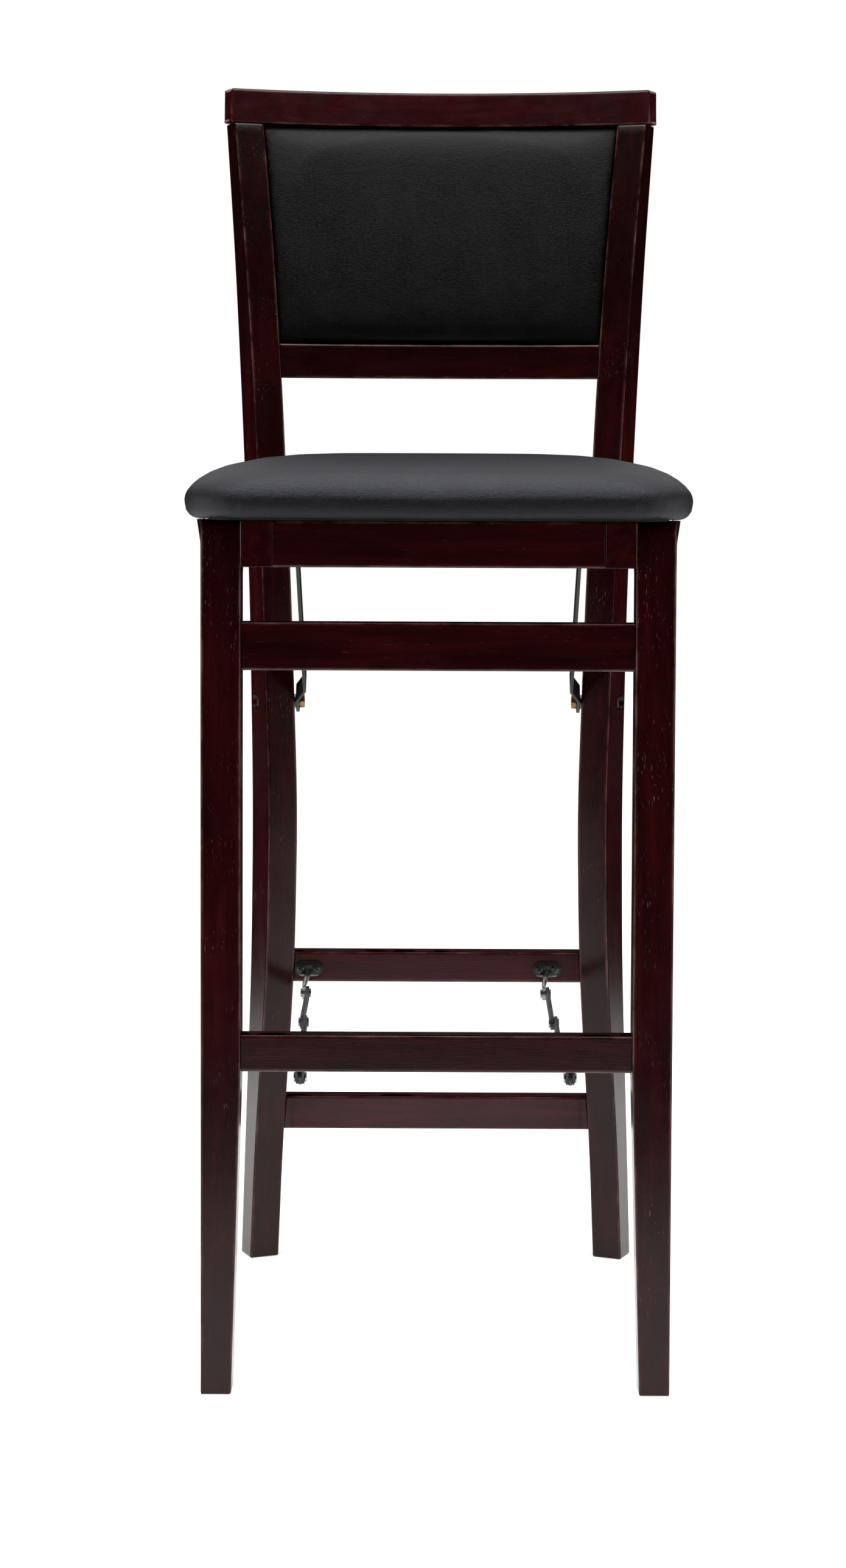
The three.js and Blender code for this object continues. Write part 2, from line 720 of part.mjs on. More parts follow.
function legFrontAt(z) {
  return frontLegLean * z / seatFrameTop;
}

function frontFrame() {
  const group = new THREE.Group();
  const innerHalf = frontLegHalfWidth - frontLegThickness - gap;
  for (const [side, word] of [[-1, 'left'], [1, 'right']]) {
    group.add(named(`front_leg_${word}`, frontLeg(side), wood));
  }
  const upperFront = legFrontAt(upperRungBase + upperRungHeight) + rungSetback;
  group.add(named('upper_front_rung',
    straightRail(innerHalf, upperFront, upperRungThickness, upperRungBase, upperRungHeight), wood));
  const footrestBack = footrestFront() + footrestThickness;
  const footrest = straightRail(innerHalf, footrestFront(), footrestThickness, footrestBase, footrestHeight);
  const places = [...clevisScrews(stayLeftPlane), ...clevisScrews(stayRightPlane)];
  group.add(named('footrest_rung',
    screwBored(footrest, places, footrestBack - screwLength, footrestBack + cutOverrun), wood));
  return group;
}

function footrestFront() {
  return legFrontAt(footrestBase + footrestHeight) + rungSetback;
}

// Plate with round ends in the XZ plane, its face towards negative Y, with screw holes
function screwPlate(width, height, thickness, holes) {
  const radius = Math.min(width, height) / 2 - gap;
  const outline = roundedRectangle(-width / 2, width / 2, -height / 2, height / 2, radius, 4);
  const shape = new THREE.Shape(outline.map(([x, z]) => new THREE.Vector2(x, z)));
  for (const [x, z] of holes) {
    const hole = new THREE.Path();
    hole.absarc(x, z, screwRadius + boltClearance, 0, 2 * Math.PI, true);
    shape.holes.push(hole);
  }
  const plate = new THREE.ExtrudeGeometry(shape, { depth: thickness, bevelEnabled: false, curveSegments: 6 });
  plate.rotateX(Math.PI / 2);
  return plate;
}

// Upper bracket: a two-screw plate whose neck runs down and forward to an eye
function stayBracket() {
  const face = stretcherFront(upperStretcherBase, upperStretcherHeight) - gap;
  const middle = bracketBase + bracketHeight / 2;
  const plate = screwPlate(bracketWidth, bracketHeight, bracketThickness,
    [[-screwSpacing / 2, 0], [screwSpacing / 2, 0]]);
  plate.translate(0, face, middle);
  const eyeMiddle = -(stayThickness / 2 + gap + eyeThickness / 2);
  const neckRing = (across, y, z, halfX, halfZ) => roundedRectangle(across - halfX, across + halfX,
    z - halfZ, z + halfZ, halfX / 2, 1).map(([x, high]) => [x, y, high]);
  const halfEye = eyeThickness / 2;
  const [rootHeight, bendHeight, tipHeight] = neck_height_shares.map((share) => share * eyeRadius / 2);
  const neck = ringSolid([
    neckRing(0, face - bracketThickness / 2, middle - bracketHeight / 4, halfEye * neck_root_share,
      rootHeight * bracketHeight / eyeRadius),
    neckRing(eyeMiddle, stayRearReach + eyeRadius, stayRearHeight + eyeRadius * neck_bend_rise_share,
      halfEye * neck_bend_share, bendHeight),
    neckRing(eyeMiddle, stayRearReach, stayRearHeight + eyeRadius * neck_tip_rise_share, halfEye, tipHeight),
  ]);
  const eye = rodAlongX(eyeRadius, eyeMiddle - eyeThickness / 2, eyeMiddle + eyeThickness / 2,
    stayRearReach, stayRearHeight);
  const bore = rodAlongX(stayPinRadius + boltClearance, -bracketWidth, bracketWidth,
    stayRearReach, stayRearHeight);
  const solid = solidOf(plate).add(solidOf(neck)).add(solidOf(eye)).subtract(solidOf(bore));
  return geometryOf(solid);
}

// Lower bracket: a plate behind the footrest with two ears that hold the stay between them
function footrestBracket() {
  const face = footrestFront() + footrestThickness + gap;
  const plate = screwPlate(clevisWidth, clevisHeight, bracketThickness,
    [[-clevisScrewSpacing / 2, 0], [clevisScrewSpacing / 2, 0]]);
  plate.translate(0, face + bracketThickness, clevisBase + clevisHeight / 2);
  let solid = solidOf(plate);
  const inner = stayThickness / 2 + gap;
  for (const side of [-1, 1]) {
    const ear = new THREE.Shape();
    ear.moveTo(face + gap, clevisBase + clevisHeight / 2);
    ear.lineTo(face + gap, stayFrontHeight + clevisEarRadius);
    ear.absarc(stayFrontReach, stayFrontHeight, clevisEarRadius, Math.PI, 2 * Math.PI, false);
    ear.lineTo(stayFrontReach + clevisEarRadius, stayFrontHeight + clevisEarRadius);
    ear.lineTo(face + bracketThickness + clevisEarRadius / 2, clevisBase + clevisHeight / 2);
    ear.closePath();
    const flap = new THREE.ExtrudeGeometry(ear, { depth: clevisEarThickness, bevelEnabled: false });
    flap.applyMatrix4(new THREE.Matrix4().makeBasis(new THREE.Vector3(0, 1, 0), upward,
      new THREE.Vector3(1, 0, 0)));
    flap.translate(side < 0 ? -inner - clevisEarThickness : inner, 0, 0);
    solid = solid.add(solidOf(flap));
  }
  const bore = rodAlongX(stayPinRadius + boltClearance, -clevisWidth, clevisWidth,
    stayFrontReach, stayFrontHeight);
  return geometryOf(solid.subtract(solidOf(bore)));
}

// Rivet with a head at each end, along X
function rivet(fromX, toX) {
  const shank = solidOf(rodAlongX(stayPinRadius, fromX, toX, 0, 0));
  const left = solidOf(rodAlongX(stayPinHeadRadius, fromX - stayPinHeadHeight, fromX, 0, 0));
  const right = solidOf(rodAlongX(stayPinHeadRadius, toX, toX + stayPinHeadHeight, 0, 0));
  return geometryOf(shank.add(left).add(right));
}

// Wood screw along Y with a low domed head, its head's underside at the origin and its tip to the back
function screw() {
  const head = screwHeadHeight;
  const profile = [[0, -screwLength], [screwRadius / 2, -screwLength], [screwRadius, -screwLength + head],
    [screwRadius, 0], [screwHeadRadius, 0], [screwHeadRadius * screw_dome_share, head / 2],
    [screwHeadRadius / 2, head], [0, head]];
  return new THREE.LatheGeometry(profile.map(([r, h]) => new THREE.Vector2(r, h)), boltSides);
}

function placedScrew(name, x, y, z, backwards) {
  const mesh = named(name, screw(), brightSteel);
  mesh.position.set(x, y, z);
  mesh.rotation.x = backwards ? Math.PI : 0;
  return mesh;
}

// Round holes along Y for screws
function screwBored(geometry, places, fromY, toY) {
  let solid = solidOf(geometry);
  for (const [x, z] of places) {
    const radius = screwRadius + boltClearance;
    const bore = new THREE.CylinderGeometry(radius, radius, toY - fromY, boltSides);
    bore.translate(x, (fromY + toY) / 2, z);
    solid = solid.subtract(solidOf(bore));
  }
  return geometryOf(solid);
}

// Both bars of a stay, drawn straight out between their pivots as they stand when the stool is open
function stayRun() {
  const run = stayFrontReach - stayRearReach;
  const rise = stayFrontHeight - stayRearHeight;
  return { length: Math.hypot(run, rise), angle: Math.atan2(rise, run) };
}

function rearStay(word, plane) {
  const half = stayThickness / 2;
  const path = joggledPath(rearStayLength, stayWidth, -half, -half, stayThickness, 0, stayJoggleLength);
  const bar = jointedBar(rearStayLength, stayWidth, path, stayPinRadius + boltClearance);
  const mesh = named(`rear_stay_${word}`, bar, blackSteel);
  mesh.position.set(plane, stayRearReach, stayRearHeight);
  mesh.rotation.x = stayRun().angle;
  return mesh;
}

// The front bar lies beside the rear one at the knee and steps over to the footrest bracket
function frontStay(word, plane) {
  const half = stayThickness / 2;
  const kneeFace = stayThickness + gap - half;
  const length = stayRun().length - rearStayLength;
  const path = joggledPath(length, stayWidth, kneeFace, kneeFace + stayJoggle, stayThickness,
    length / 2, stayJoggleLength);
  const bar = solidOf(jointedBar(length, stayWidth, path, stayPinRadius + boltClearance));
  const headFace = kneeFace + stayThickness - gap;
  const cap = solidOf(rodAlongX(stayPinHeadRadius, headFace, headFace + stayPinHeadHeight + gap, 0, 0));
  const mesh = named(`front_stay_${word}`, geometryOf(bar.add(cap)), blackSteel);
  const { angle } = stayRun();
  mesh.position.set(plane, stayRearReach + rearStayLength * Math.cos(angle),
    stayRearHeight + rearStayLength * Math.sin(angle));
  mesh.rotation.x = angle;
  return mesh;
}

// Knee rivet: headed on the rear bar's free side, flush where the front bar passes
function kneeRivet(word, plane) {
  const half = stayThickness / 2;
  const shank = solidOf(rodAlongX(stayPinRadius, -half - gap, half, 0, 0));
  const head = solidOf(rodAlongX(stayPinHeadRadius, -half - gap - stayPinHeadHeight, -half - gap, 0, 0));
  const mesh = named(`knee_rivet_${word}`, geometryOf(shank.add(head)), brightSteel);
  const { angle } = stayRun();
  mesh.position.set(plane, stayRearReach + rearStayLength * Math.cos(angle),
    stayRearHeight + rearStayLength * Math.sin(angle));
  return mesh;
}

function stayShift() {
  return stayThickness + gap + stayJoggle;
}

function stayHardware(word, plane) {
  const group = new THREE.Group();
  const bracket = named(`stay_bracket_${word}`, stayBracket(), blackSteel);
  bracket.position.x = plane;
  const outer = -(stayThickness / 2 + gap + eyeThickness + gap);
  const pin = named(`stay_pin_${word}`, rivet(outer, stayThickness / 2 + gap), brightSteel);
  pin.position.set(plane, stayRearReach, stayRearHeight);
  const clevis = named(`footrest_bracket_${word}`, footrestBracket(), blackSteel);
  clevis.position.x = plane + stayShift();
  const reach = stayThickness / 2 + gap + clevisEarThickness + gap;
  const clevisPin = named(`footrest_pin_${word}`, rivet(-reach, reach), brightSteel);
  clevisPin.position.set(plane + stayShift(), stayFrontReach, stayFrontHeight);
  group.add(bracket, pin, clevis, clevisPin);
  group.add(rearStay(word, plane), frontStay(word, plane), kneeRivet(word, plane));
  const frontFace = stretcherFront(upperStretcherBase, upperStretcherHeight) - gap - bracketThickness - gap;
  bracketScrews(plane).forEach(([x, z], at) => {
    group.add(placedScrew(`bracket_screw_${word}_${at + 1}`, x, frontFace, z, true));
  });
  const backFace = footrestFront() + footrestThickness + gap + bracketThickness + gap;
  clevisScrews(plane).forEach(([x, z], at) => {
    group.add(placedScrew(`footrest_screw_${word}_${at + 1}`, x, backFace, z, false));
  });
  return group;
}

function bracketScrews(plane) {
  const z = bracketBase + bracketHeight / 2;
  return [[plane - screwSpacing / 2, z], [plane + screwSpacing / 2, z]];
}

function clevisScrews(plane) {
  const x = plane + stayShift();
  const z = clevisBase + clevisHeight / 2;
  return [[x - clevisScrewSpacing / 2, z], [x + clevisScrewSpacing / 2, z]];
}

const exported = new THREE.Group();
exported.add(rearFrame(), seat(), frontFrame());
exported.add(linkBar(-1, 'left'), linkBar(1, 'right'));
exported.add(linkFootHardware(-1, 'left'), linkFootHardware(1, 'right'));
exported.add(stayHardware('left', stayLeftPlane), stayHardware('right', stayRightPlane));
const crestBack = backPoint(0, stileHeight + gap + crestHeight - woodEase, crestThickness)[1];
exported.position.y = -crestBack / 2;
export default exported;
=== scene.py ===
"""Folding bar stool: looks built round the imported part.

Sizes are millimetres in the part's own plan, where Y starts at the front feet.
The function in_frame turns them to metres in the shared frame.
"""

import json
import math

import bmesh
import bpy
import numpy as np
from mathutils import Matrix, Vector

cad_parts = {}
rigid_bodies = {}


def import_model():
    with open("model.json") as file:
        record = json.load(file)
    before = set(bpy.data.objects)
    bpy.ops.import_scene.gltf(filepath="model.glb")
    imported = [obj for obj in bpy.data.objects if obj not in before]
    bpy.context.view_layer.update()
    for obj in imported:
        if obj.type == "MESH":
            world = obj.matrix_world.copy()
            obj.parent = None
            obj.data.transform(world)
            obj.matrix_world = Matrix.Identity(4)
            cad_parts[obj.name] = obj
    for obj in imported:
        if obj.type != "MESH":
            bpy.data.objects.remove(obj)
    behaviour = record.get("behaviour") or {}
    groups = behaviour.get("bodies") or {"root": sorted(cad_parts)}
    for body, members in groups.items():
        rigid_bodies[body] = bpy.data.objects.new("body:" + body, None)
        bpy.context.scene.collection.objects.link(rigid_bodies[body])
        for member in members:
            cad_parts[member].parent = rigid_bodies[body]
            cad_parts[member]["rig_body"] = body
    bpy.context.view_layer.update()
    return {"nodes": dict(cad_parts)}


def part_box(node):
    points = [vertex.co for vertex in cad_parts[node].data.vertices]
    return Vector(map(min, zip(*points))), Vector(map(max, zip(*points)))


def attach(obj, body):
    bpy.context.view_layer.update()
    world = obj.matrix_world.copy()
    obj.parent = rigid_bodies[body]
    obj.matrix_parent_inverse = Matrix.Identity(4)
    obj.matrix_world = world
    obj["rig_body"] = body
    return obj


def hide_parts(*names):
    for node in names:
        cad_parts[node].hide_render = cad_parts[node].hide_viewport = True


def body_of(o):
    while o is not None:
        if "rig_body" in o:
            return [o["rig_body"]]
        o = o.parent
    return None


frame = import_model()

# Rear legs
STILE_HEIGHT = 1117.7
STILE_THICKNESS = 30.0
STILE_DEPTH = 43.0
STILE_TOE = math.radians(23)
STILE_BOW = 33.0
REAR_FOOT_HALF_WIDTH = 195.6
REAR_FOOT_REACH = 470.0
STILE_HEIGHT_SHARES = np.array([0, 0.107, 0.259, 0.367, 0.429, 0.501, 0.603, 0.728, 0.776, 0.887, 1])
STILE_BOW_SHARES = np.array([0, 0.33, 0.82, 0.985, 1, 0.925, 0.76, 0.33, 0.15, -0.33, -0.955])
STILE_DEPTH_SHARES = np.array([0.605, 0.674, 0.93, 1, 0.99, 0.92, 0.837, 0.802, 0.779, 0.674, 0.535])
WOOD_EASE = 2.0
GAP = 0.3

# Back rails and pad
BACK_RADIUS = 500.0
CREST_HEIGHT = 33.0
CREST_THICKNESS = 22.0
CREST_HALF_WIDTH = 211.0
CREST_LEAN = 0.19
LOWER_RAIL_BASE = 872.0
LOWER_RAIL_HEIGHT = 33.0
LOWER_RAIL_THICKNESS = 20.0
BOARD_SETBACK = 14.0
BACK_PAD_CROWN = 6.0
BACK_PAD_EDGE = 6.0

# Stretchers and seat frame: a stretcher is its base and height
STRETCHER_THICKNESS = 22.0
STRETCHER_SETBACK = 4.0
UPPER_STRETCHER = (285.0, 30.0)
LOWER_STRETCHER = (133.0, 33.0)
SEAT_FRAME_TOP = 747.0
SEAT_FRAME_HEIGHT = 39.0
SEAT_FRONT_REACH = 18.0
SEAT_FRAME_LENGTH = 358.0
SEAT_FRAME_HALF_WIDTH = 166.5
SEAT_RAIL_THICKNESS = 27.0
SEAT_CROSS_THICKNESS = 20.0
BOARD_HALF_WIDTH = 195.0
SEAT_BOARD_THICKNESS = 11.0

# Seat pad
CUSHION_HALF_WIDTH = 216.0
CUSHION_FRONT = 5.0
CUSHION_DEPTH = 401.0
CUSHION_FRONT_RADIUS = 58.0
CUSHION_REAR_RADIUS = 44.0

# Front legs and rungs: a rung is its base, height and thickness
LEG_HALF_WIDTH = 201.0
LEG_THICKNESS = 34.0
LEG_DEPTH = 33.0
LEG_LEAN = 38.5 / 747.0
LEG_HEAD_RADIUS = 19.5
LEG_HEEL_REACH = 24.0
LEG_HEEL_HEIGHT = 26.0
LEG_HEAD_FLARE = 7.0
LEG_FLARE_HEIGHT = 41.0
LEG_TAPER_HEIGHT = 275.0
LEG_TAPER = 8.0
UPPER_RUNG = (620.0, 41.0, 18.0)
FOOTREST = (278.0, 32.0, 20.0)
RUNG_SETBACK = 1.5

# Pivots and hardware: a link's head and foot are a reach and a height
PIVOT_HEIGHT = 727.0
LEG_PIVOT_REACH = LEG_LEAN * PIVOT_HEIGHT + LEG_HEAD_RADIUS
LINK_HEAD = (227.0, PIVOT_HEIGHT)
LINK_FOOT = (426.997, 560.0)
COUNTERBORE = 5.0
BOLT_HEAD_RADIUS = 7.5
NUT_RADIUS = 7.0
NUT_HEIGHT = 4.6
LINK_PLANE = 127.0
LINK_FOOT_PLANE = 134.6
SCREW_HEAD_RADIUS = 3.6
SCREW_HEAD_HEIGHT = 1.8
CROSS_HALF_WIDTH = 0.62
CROSS_REACH = 2.35
CROSS_DEPTH = 1.1

# How finely the surfaces are drawn
CORNER_POINTS = 5
LEAST_EASE = 0.15
SUPPORT_STEP = 1.2
CAP_INSET = 1.5
ROUND_POINTS = 48
PAD_COLUMNS = 61
PAD_ROWS = 41


# Shapes as arrays
def smooth_table(x, xs, ys):
    """Cubic pieces through a table, each with centred slopes at its two ends."""
    cell = np.clip(np.searchsorted(xs, x, side="right") - 1, 0, len(xs) - 2)
    before = np.maximum(np.arange(len(xs)) - 1, 0)
    after = np.minimum(np.arange(len(xs)) + 1, len(xs) - 1)
    slope = (ys[after] - ys[before]) / (xs[after] - xs[before])
    span = xs[cell + 1] - xs[cell]
    t = (x - xs[cell]) / span
    start = 2 * t**3 - 3 * t**2 + 1
    tangents = (t**3 - 2 * t**2 + t) * slope[cell] + (t**3 - t**2) * slope[cell + 1]
    return start * ys[cell] + (1 - start) * ys[cell + 1] + span * tangents


def stile_back(z):
    """Reach of a rear leg's back edge at a height: straight, less the bow."""
    return REAR_FOOT_REACH - STILE_BOW * smooth_table(z / STILE_HEIGHT, STILE_HEIGHT_SHARES, STILE_BOW_SHARES)


def stile_front(z):
    """Reach of its front edge: the back edge less the leg's depth there."""
    depth = STILE_DEPTH * smooth_table(z / STILE_HEIGHT, STILE_HEIGHT_SHARES, STILE_DEPTH_SHARES)
    return stile_back(z) - depth


def stile_inner_x(y):
    """Half width between the rear legs' inner faces, which spread rearwards by the toe angle."""
    inner = REAR_FOOT_HALF_WIDTH - STILE_THICKNESS / math.cos(STILE_TOE)
    return inner + (y - REAR_FOOT_REACH) * math.tan(STILE_TOE)


def stile_outer_x(y):
    """Half width over their outer faces."""
    return REAR_FOOT_HALF_WIDTH + (y - REAR_FOOT_REACH) * math.tan(STILE_TOE)


def back_centre(z):
    """Centre of the back's circle at a height: it passes through the stiles' inner front corners."""
    height = np.minimum(z, STILE_HEIGHT)
    y = stile_front(height) + STILE_THICKNESS * math.sin(STILE_TOE) + (z - height) * CREST_LEAN
    return y - np.sqrt(BACK_RADIUS**2 - stile_inner_x(y) ** 2)


def back_point(angle, z, setback):
    """A place on the back: radius grows with the setback, and the circle's centre shifts with the height."""
    radius = BACK_RADIUS + setback
    return np.stack([radius * np.sin(angle), back_centre(z) + radius * np.cos(angle), z + 0 * angle], axis=-1)


def angle_at_stile(z, setback):
    """Angle at which the back's circle meets the stile's inner face, found by repeated projection."""
    radius = BACK_RADIUS + setback
    height = np.minimum(z, STILE_HEIGHT)
    y = stile_front(height) + STILE_THICKNESS * math.sin(STILE_TOE)
    angle = np.arcsin(stile_inner_x(y) / radius)
    for _ in range(6):
        y = back_centre(z) + radius * np.cos(angle)
        angle = np.arcsin((stile_inner_x(y) - GAP / math.cos(STILE_TOE)) / radius)
    return angle


# Rearmost point of the stool, on the crest: half of it is the shift between the plan and the shared frame
CREST_TOP = STILE_HEIGHT + GAP + CREST_HEIGHT - WOOD_EASE
CREST_BACK = float(back_point(np.array(0.0), np.array(CREST_TOP), np.array(CREST_THICKNESS))[1])


def in_frame(points):
    """Millimetres in the part's plan to metres in the shared frame."""
    return (points - np.array([0, CREST_BACK / 2, 0])) * 0.001


def eased_stations(low, high, ease, count, reach=None):
    """Places along a bar with quarter-round ends, and how far the section draws in at each.

    The reach is the ease in the places' own unit, where that is not millimetres. One more section at either
    end lies in the cap.
    """
    reach = ease if reach is None else reach
    turn = np.linspace(0, math.pi / 2, CORNER_POINTS)
    start = low + reach * (1 - np.cos(turn))
    inset = ease * (1 - np.sin(turn))
    middle = np.linspace(low + reach, high - reach, count)[1:-1]
    places = np.concatenate([[low], start, middle, (low + high - start)[::-1], [high]])
    cap = ease + CAP_INSET
    insets = np.concatenate([[cap], inset, 0 * middle, inset[::-1], [cap]])
    return places, insets


def eased_section(low_a, high_a, low_b, high_b, inset):
    """Rectangle with quarter-round corners at every station.

    A corner is its centre plus the radius turned round it, with one support point before the arc and one after.
    Known fault: before the second and fourth arc that point lies past the arc's start, so that the skin folds
    back on itself there, over at most 1.2 mm.
    """
    turn = np.linspace(0, math.pi / 2, CORNER_POINTS)
    radius = np.maximum(WOOD_EASE - inset, LEAST_EASE)[:, None]
    half_a = ((high_a - low_a) / 2 - inset)[:, None] - radius
    half_b = ((high_b - low_b) / 2 - inset)[:, None] - radius
    middle_a = ((high_a + low_a) / 2)[:, None]
    middle_b = ((high_b + low_b) / 2)[:, None]
    step = np.minimum(SUPPORT_STEP, 0.5 * np.minimum(half_a, half_b))
    a_parts, b_parts = [], []
    corners = (((1, 1), (0, -1), (-1, 0)), ((-1, 1), (-1, 0), (0, -1)),
               ((-1, -1), (0, 1), (1, 0)), ((1, -1), (1, 0), (0, 1)))
    for quarter, (sign, before, after) in enumerate(corners):
        angle = turn + quarter * math.pi / 2
        arc_a = middle_a + sign[0] * half_a + radius * np.cos(angle)
        arc_b = middle_b + sign[1] * half_b + radius * np.sin(angle)
        a_parts.append(np.hstack([arc_a[:, :1] + before[0] * step, arc_a, arc_a[:, -1:] + after[0] * step]))
        b_parts.append(np.hstack([arc_b[:, :1] + before[1] * step, arc_b, arc_b[:, -1:] + after[1] * step]))
    return np.hstack(a_parts), np.hstack(b_parts)


def painted_edge_highlight(inset):
    """Share of painted highlight: one on the rounded edges and ends of an eased section, nothing on its flats.
    """
    one_corner = [0, 0.2, 0.8, 1, 0.8, 0.2, 0]
    column = np.tile(one_corner, 4)
    row = np.where((inset > 0) & (inset <= WOOD_EASE), np.clip(inset / WOOD_EASE * 2, 0, 1), 0)
    return np.maximum(column[None, :], row[:, None])


def mesh_from_rings(name, rings, wear_and_painted_highlight=None, loop=False):
    """A closed skin through rings of points: rows are rings, columns go round.

    Both ends are capped, or the last ring joins the first where the rows make a loop.
    """
    rows, columns = rings.shape[:2]
    index = np.arange(rows * columns).reshape(rows, columns)
    onward = np.roll(index, -1, axis=0) if loop else index[1:]
    start = index if loop else index[:-1]
    quads = np.stack([start, np.roll(start, -1, axis=1), np.roll(onward, -1, axis=1), onward], axis=-1)
    quads = quads.reshape(-1, 4)
    points = rings.reshape(-1, 3)
    faces = quads.tolist()
    if not loop:
        faces += [index[0][::-1].tolist(), index[-1].tolist()]
    corner = points[quads] - points.mean(axis=0)
    volume = np.einsum("ij,ij->i", corner[:, 0], np.cross(corner[:, 1], corner[:, 2])).sum()
    volume += np.einsum("ij,ij->i", corner[:, 0], np.cross(corner[:, 2], corner[:, 3])).sum()
    if volume < 0:
        faces = [face[::-1] for face in faces]
    mesh = bpy.data.meshes.new(name)
    mesh.from_pydata(points.tolist(), [], faces)
    mesh.polygons.foreach_set("use_smooth", np.ones(len(faces), bool))
    # Each point's share of the painted edge highlight goes into a mesh attribute
    if wear_and_painted_highlight is not None:
        attribute = mesh.attributes.new("painted_edge_highlight", "FLOAT", "POINT")
        attribute.data.foreach_set("value", wear_and_painted_highlight.astype(np.float32).ravel())
    mesh.update()
    return mesh


def new_object(name, data):
    """Puts an object into the scene."""
    made = bpy.data.objects.new(name, data)
    bpy.context.scene.collection.objects.link(made)
    return made


def piece(name, mesh, material, body, replaces):
    """Puts a finished mesh into the scene as a piece that rides on a body and stands for CAD nodes."""
    made = new_object(name, mesh)
    made.data.materials.clear()
    made.data.materials.append(material)
    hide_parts(*replaces)
    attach(made, body)
    return made


def wooden_piece(name, node, rings, inset, wood, body):
    """A piece of dark wood through rings in the plan, with a painted highlight where its section is eased."""
    mesh = mesh_from_rings(name, in_frame(rings), painted_edge_highlight(inset))
    return piece(name, mesh, wood, body, [node])


def mirror_x(rings, side):
    """The same points for the stool's left side where the side is -1."""
    return rings * np.array([side, 1, 1])


# Nodes and colours
def colour(code):
    """An sRGB hex value as linear light."""
    value = np.array([int(code[at : at + 2], 16) for at in (1, 3, 5)]) / 255
    linear = np.where(value <= 0.04045, value / 12.92, ((value + 0.055) / 1.055) ** 2.4)
    return (*linear.tolist(), 1.0)


def add(tree, kind, inputs=None, stops=None, **settings):
    """Adds one node, its kind given without the common prefix.

    Settings are its own values, inputs are numbers or links, and stops are a ramp's colours.
    """
    node = tree.nodes.new("ShaderNode" + kind)
    for key, value in settings.items():
        setattr(node, key, value)
    for key, value in (inputs or {}).items():
        if isinstance(value, bpy.types.NodeSocket):
            tree.links.new(value, node.inputs[key])
        else:
            node.inputs[key].default_value = value
    if stops:
        ramp = node.color_ramp.elements
        while len(ramp) < len(stops):
            ramp.new(0.5)
        for element, (place, code) in zip(ramp, stops):
            element.position = place
            element.color = colour(code)
    return node


def new_material(name):
    """An empty material and its tree of nodes."""
    material = bpy.data.materials.new(name)
    material.use_nodes = True
    material.node_tree.nodes.clear()
    return material, material.node_tree


def finish_material(tree, shader):
    """Shows a shader on the surface."""
    add(tree, "OutputMaterial", {"Surface": shader.outputs[0]})


GRAIN_STRETCH = {"X": (1, 14, 14), "Y": (14, 1, 14), "Z": (14, 14, 1)}


